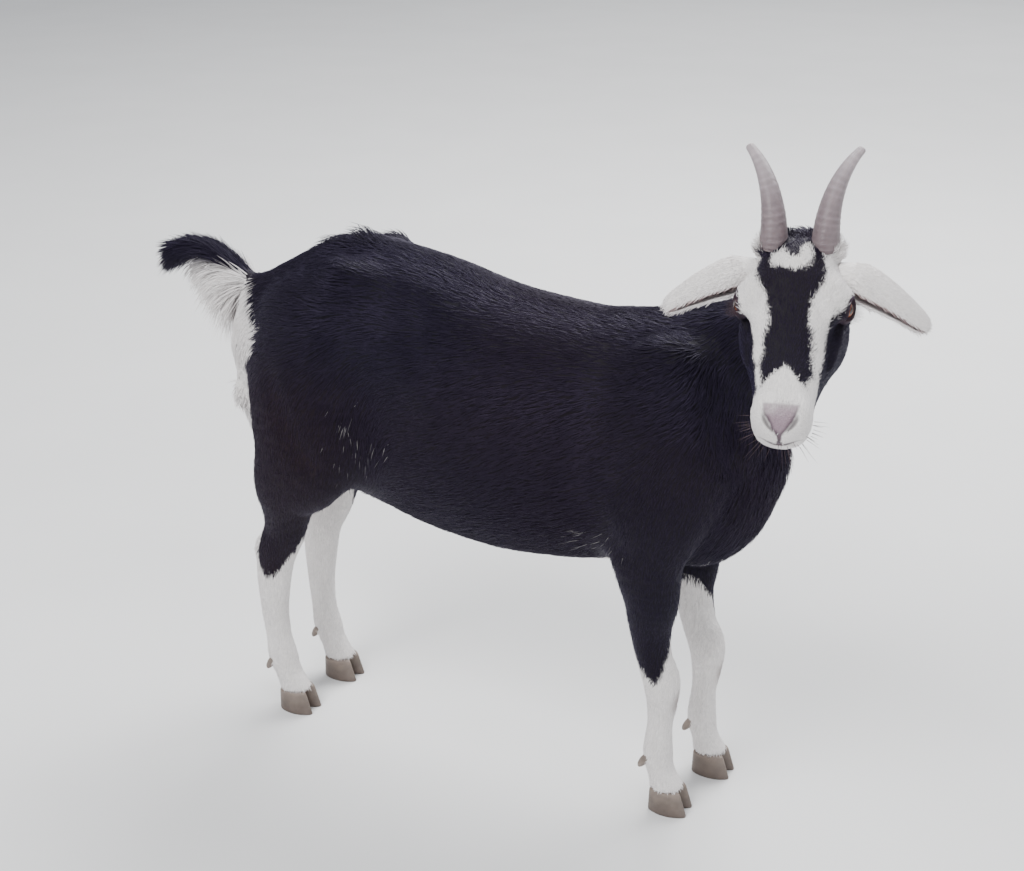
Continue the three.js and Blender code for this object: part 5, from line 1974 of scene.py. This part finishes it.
@dataclass
class Whiskers:
    """Lashes on the upper lids and stiff single hairs round the lips and chin, set by a node tree."""

    lashes: int = 26
    whiskers: int = 46
    seed: int = 9

    def tree(self, material: bpy.types.Material) -> bpy.types.NodeTree:
        """A tree that sets a thin cone on each point, along the point's own way and as long as it says."""
        tree = bpy.data.node_groups.new("Single hairs", "GeometryNodeTree")
        tree.interface.new_socket("Geometry", in_out="INPUT", socket_type="NodeSocketGeometry")
        tree.interface.new_socket("Thickness", in_out="INPUT", socket_type="NodeSocketFloat")
        tree.interface.new_socket("Seed", in_out="INPUT", socket_type="NodeSocketInt")
        tree.interface.new_socket("Geometry", in_out="OUTPUT", socket_type="NodeSocketGeometry")
        given = add_node(tree, "NodeGroupInput")
        cone = add_node(
            tree,
            "GeometryNodeMeshCone",
            {"Vertices": 6, "Side Segments": 4, "Radius Top": 0.00004, "Depth": 1.0},
            {"Radius Bottom": given.outputs["Thickness"]},
        )
        way = add_node(tree, "GeometryNodeInputNamedAttribute", {".data_type": "FLOAT_VECTOR", "Name": "Way"})
        long = add_node(tree, "GeometryNodeInputNamedAttribute", {".data_type": "FLOAT", "Name": "Long"})
        links = {"Vector": way.outputs["Attribute"]}
        turn = add_node(tree, "FunctionNodeAlignRotationToVector", {".axis": "Z"}, links)
        settings = {".data_type": "FLOAT", 2: 0.75, 3: 1.15}
        vary = add_node(tree, "FunctionNodeRandomValue", settings, {"Seed": given.outputs["Seed"]})
        links = {0: long.outputs["Attribute"], 1: vary.outputs[1]}
        size = add_node(tree, "ShaderNodeMath", {".operation": "MULTIPLY"}, links)
        scale = add_node(tree, "ShaderNodeCombineXYZ", {"X": 1.0, "Y": 1.0}, {"Z": size.outputs[0]})
        placed = add_node(
            tree,
            "GeometryNodeInstanceOnPoints",
            None,
            {
                "Points": given.outputs["Geometry"],
                "Instance": cone.outputs["Mesh"],
                "Rotation": turn.outputs["Rotation"],
                "Scale": scale.outputs[0],
            },
        )
        real = add_node(tree, "GeometryNodeRealizeInstances", None, {"Geometry": placed.outputs[0]})
        links = {"Geometry": real.outputs[0]}
        dressed = add_node(tree, "GeometryNodeSetMaterial", {"Material": material}, links)
        add_node(tree, "NodeGroupOutput", None, {"Geometry": dressed.outputs[0]})
        return tree

    def points(self, flesh: Flesh) -> tuple[Array, Array, Array]:
        """The roots, the ways and the lengths of all these hairs, in the design frame."""
        draw = np.random.default_rng(self.seed)
        roots, ways, long = [], [], []
        for side in (-1, 1):
            axes = Body.eye_axes(side)
            centre = eye_centre(side)
            for u in np.linspace(-0.8, 0.85, self.lashes):
                top, _ = Body.almond(np.array([u]))
                a, b = u * EYE.length / 2, float(top[0])
                c = math.sqrt((EYE.radius + 1.5) ** 2 - a * a - b * b)
                roots.append(from_head(centre + np.array([a, b, c]) @ axes))
                ways.append((np.array([0.3 * u, 0.35, 0.9]) @ axes) @ HEAD_AXES.T)
                long.append(9.0 + 3.0 * draw.random())
        for _ in range(self.whiskers):
            swing = draw.uniform(-1.9, 1.9)
            z = draw.choice([-46, -42, -26, -20]) + draw.normal(0, 2)
            q = flesh.meet((215 + 70 * math.cos(swing), 70 * math.sin(swing), z), (215, 0, z))
            roots.append(from_head(q))
            down = -0.5 if z < -33 else 0.1
            ways.append(np.array([0.7 * math.cos(swing), 0.9 * math.sin(swing), down]) @ HEAD_AXES.T)
            long.append(draw.uniform(10, 24))
        return np.array(roots), unit(np.array(ways)), np.array(long)

    def build(self, flesh: Flesh, material: bpy.types.Material) -> bpy.types.Object:
        """The hairs as one plain mesh.

        Args:
            flesh: what they are rooted in.
            material: their finish.

        Returns:
            The object.
        """
        roots, ways, long = self.points(flesh)
        holder = mesh_object("whisker_points", roots, [])
        layer = holder.data.attributes.new("Way", "FLOAT_VECTOR", "POINT")
        layer.data.foreach_set("vector", ways.astype(np.float32).ravel())
        number_layer(holder, "Long", long * MM)
        tree = self.tree(material)
        modifier = holder.modifiers.new("Single hairs", "NODES")
        modifier.node_group = tree
        for item in tree.interface.items_tree:
            if item.name == "Thickness":
                modifier[item.identifier] = 0.00028
            if item.name == "Seed":
                modifier[item.identifier] = self.seed
        evaluated = holder.evaluated_get(bpy.context.evaluated_depsgraph_get())
        mesh = bpy.data.meshes.new_from_object(evaluated)
        bpy.data.objects.remove(holder)
        made = bpy.data.objects.new("whiskers", mesh)
        bpy.context.scene.collection.objects.link(made)
        paint(made, np.tile(srgb("#4a3d3c"), (len(mesh.vertices), 1)))
        return made


# The stage.


@dataclass
class Stage:
    """A pale floor, soft studio light, and the camera that stands as the photograph's did."""

    camera_at: tuple = (873, -1776, 1320)
    looks: tuple = (-0.3920, 0.8330, -0.3907)
    focal_pixels: float = 1576
    image_width: float = 1024
    floor_half: float = 9.0

    def build_camera(self) -> None:
        """The camera at the photograph's angle."""
        data = bpy.data.cameras.new("camera")
        data.sensor_width = 36
        data.lens = 36 * self.focal_pixels / self.image_width
        data.clip_end = 60
        made = bpy.data.objects.new("camera", data)
        made.location = row_frame(np.array(self.camera_at, float))
        made.rotation_euler = Vector(self.looks).to_track_quat("-Z", "Y").to_euler()
        bpy.context.scene.collection.objects.link(made)
        bpy.context.scene.camera = made

    def build_floor(self) -> bpy.types.Object:
        """A matt pale floor."""
        h = self.floor_half
        mesh = bpy.data.meshes.new("floor")
        mesh.from_pydata([(-h, -h, 0), (h, -h, 0), (h, h, 0), (-h, h, 0)], [], [(0, 1, 2, 3)])
        made = bpy.data.objects.new("floor", mesh)
        bpy.context.scene.collection.objects.link(made)
        finish, tree = new_material("Matt studio floor")
        noise = add_node(tree, "ShaderNodeTexNoise", {"Scale": 3.0}, {"Vector": object_place(tree)})
        links = {"Base Color": spread(tree, noise.outputs["Fac"], 0.72, 0.78)}
        shader = add_node(tree, "ShaderNodeBsdfPrincipled", {"Roughness": 0.85}, links)
        close_material(tree, shader)
        dress(made, finish)
        return made

    def build_lights(self) -> None:
        """A broad key from above the camera's left, a fill from its right, and a pale sky."""
        for name, place, aim, size, power in (
            ("key", (-0.8, -2.2, 3.4), (0.0, 0.0, 0.5), 1.8, 150),
            ("fill", (2.8, -1.4, 1.6), (0.2, 0.0, 0.5), 2.2, 32),
            ("back", (0.2, 2.6, 3.0), (0.0, 0.2, 0.6), 2.4, 120),
            ("sweep", (0.5, 5.0, 5.5), (0.5, 5.0, 0.0), 6.0, 520),
        ):
            data = bpy.data.lights.new(name, "AREA")
            data.size = size
            data.energy = power
            made = bpy.data.objects.new(name, data)
            made.location = place
            made.rotation_euler = (Vector(aim) - Vector(place)).to_track_quat("-Z", "Y").to_euler()
            bpy.context.scene.collection.objects.link(made)
        world = bpy.data.worlds.new("studio")
        world.use_nodes = True
        world.node_tree.nodes["Background"].inputs["Color"].default_value = (0.86, 0.89, 0.95, 1)
        world.node_tree.nodes["Background"].inputs["Strength"].default_value = 0.55
        bpy.context.scene.world = world


def settle_piece(piece: bpy.types.Object, material: bpy.types.Material, slot: str, *nodes: str) -> None:
    """Dresses a piece, binds it to the body and hides the imported nodes that it stands for."""
    dress(piece, material)
    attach(piece, "root")
    if nodes:
        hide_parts(*nodes)
    LOG.info("%s: %d faces", piece.name, len(piece.data.polygons))


def main() -> None:
    """Builds the goat piece by piece, then the stage."""
    logging.basicConfig(level=logging.INFO, format="%(name)s %(message)s")
    hair = HairFinish().build()
    fur = SkinFinish().build()
    horn = HornFinish("Goat horn keratin").build()
    hoof = HornFinish("Hoof keratin", 0.5).build()
    eye = WetFinish("Wet eye").build()
    lid = WetFinish("Moist lid", 0.32, 0.3).build()
    flesh = Flesh()
    body = Body(flesh)
    settle_piece(body.build_skin(), fur, "coat", *FLESH_NODES)
    for tufts in body.build_coat():
        settle_piece(tufts, hair, "coat")
    ears, eyes, horns, tail = Ears(), Eyes(), Horns(), TailHair()
    for side, name in ((-1, "right"), (1, "left")):
        skin, tufts = ears.build(side, name)
        settle_piece(skin, fur, "coat", "ear_" + name)
        settle_piece(tufts, hair, "coat")
        settle_piece(eyes.build_ball(side, "eyeball_" + name), eye, "eye", "eye_" + name)
        settle_piece(eyes.build_lids(side, "lid_margin_" + name), lid, "coat")
        settle_piece(horns.build(side, "horn_sheath_" + name), horn, "horn", "horn_" + name)
    dock, strands = tail.build()
    settle_piece(dock, fur, "coat", "tail")
    settle_piece(strands, hair, "coat")
    for leg in LEGS:
        nodes = [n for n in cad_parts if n.startswith(leg) and "claw" in n]
        settle_piece(Hooves().build(leg), hoof, "claw", *nodes)
    settle_piece(Whiskers().build(flesh, hair), hair, "coat")
    stage = Stage()
    stage.build_camera()
    stage.build_floor()
    stage.build_lights()


if __name__ == "__main__":
    main()
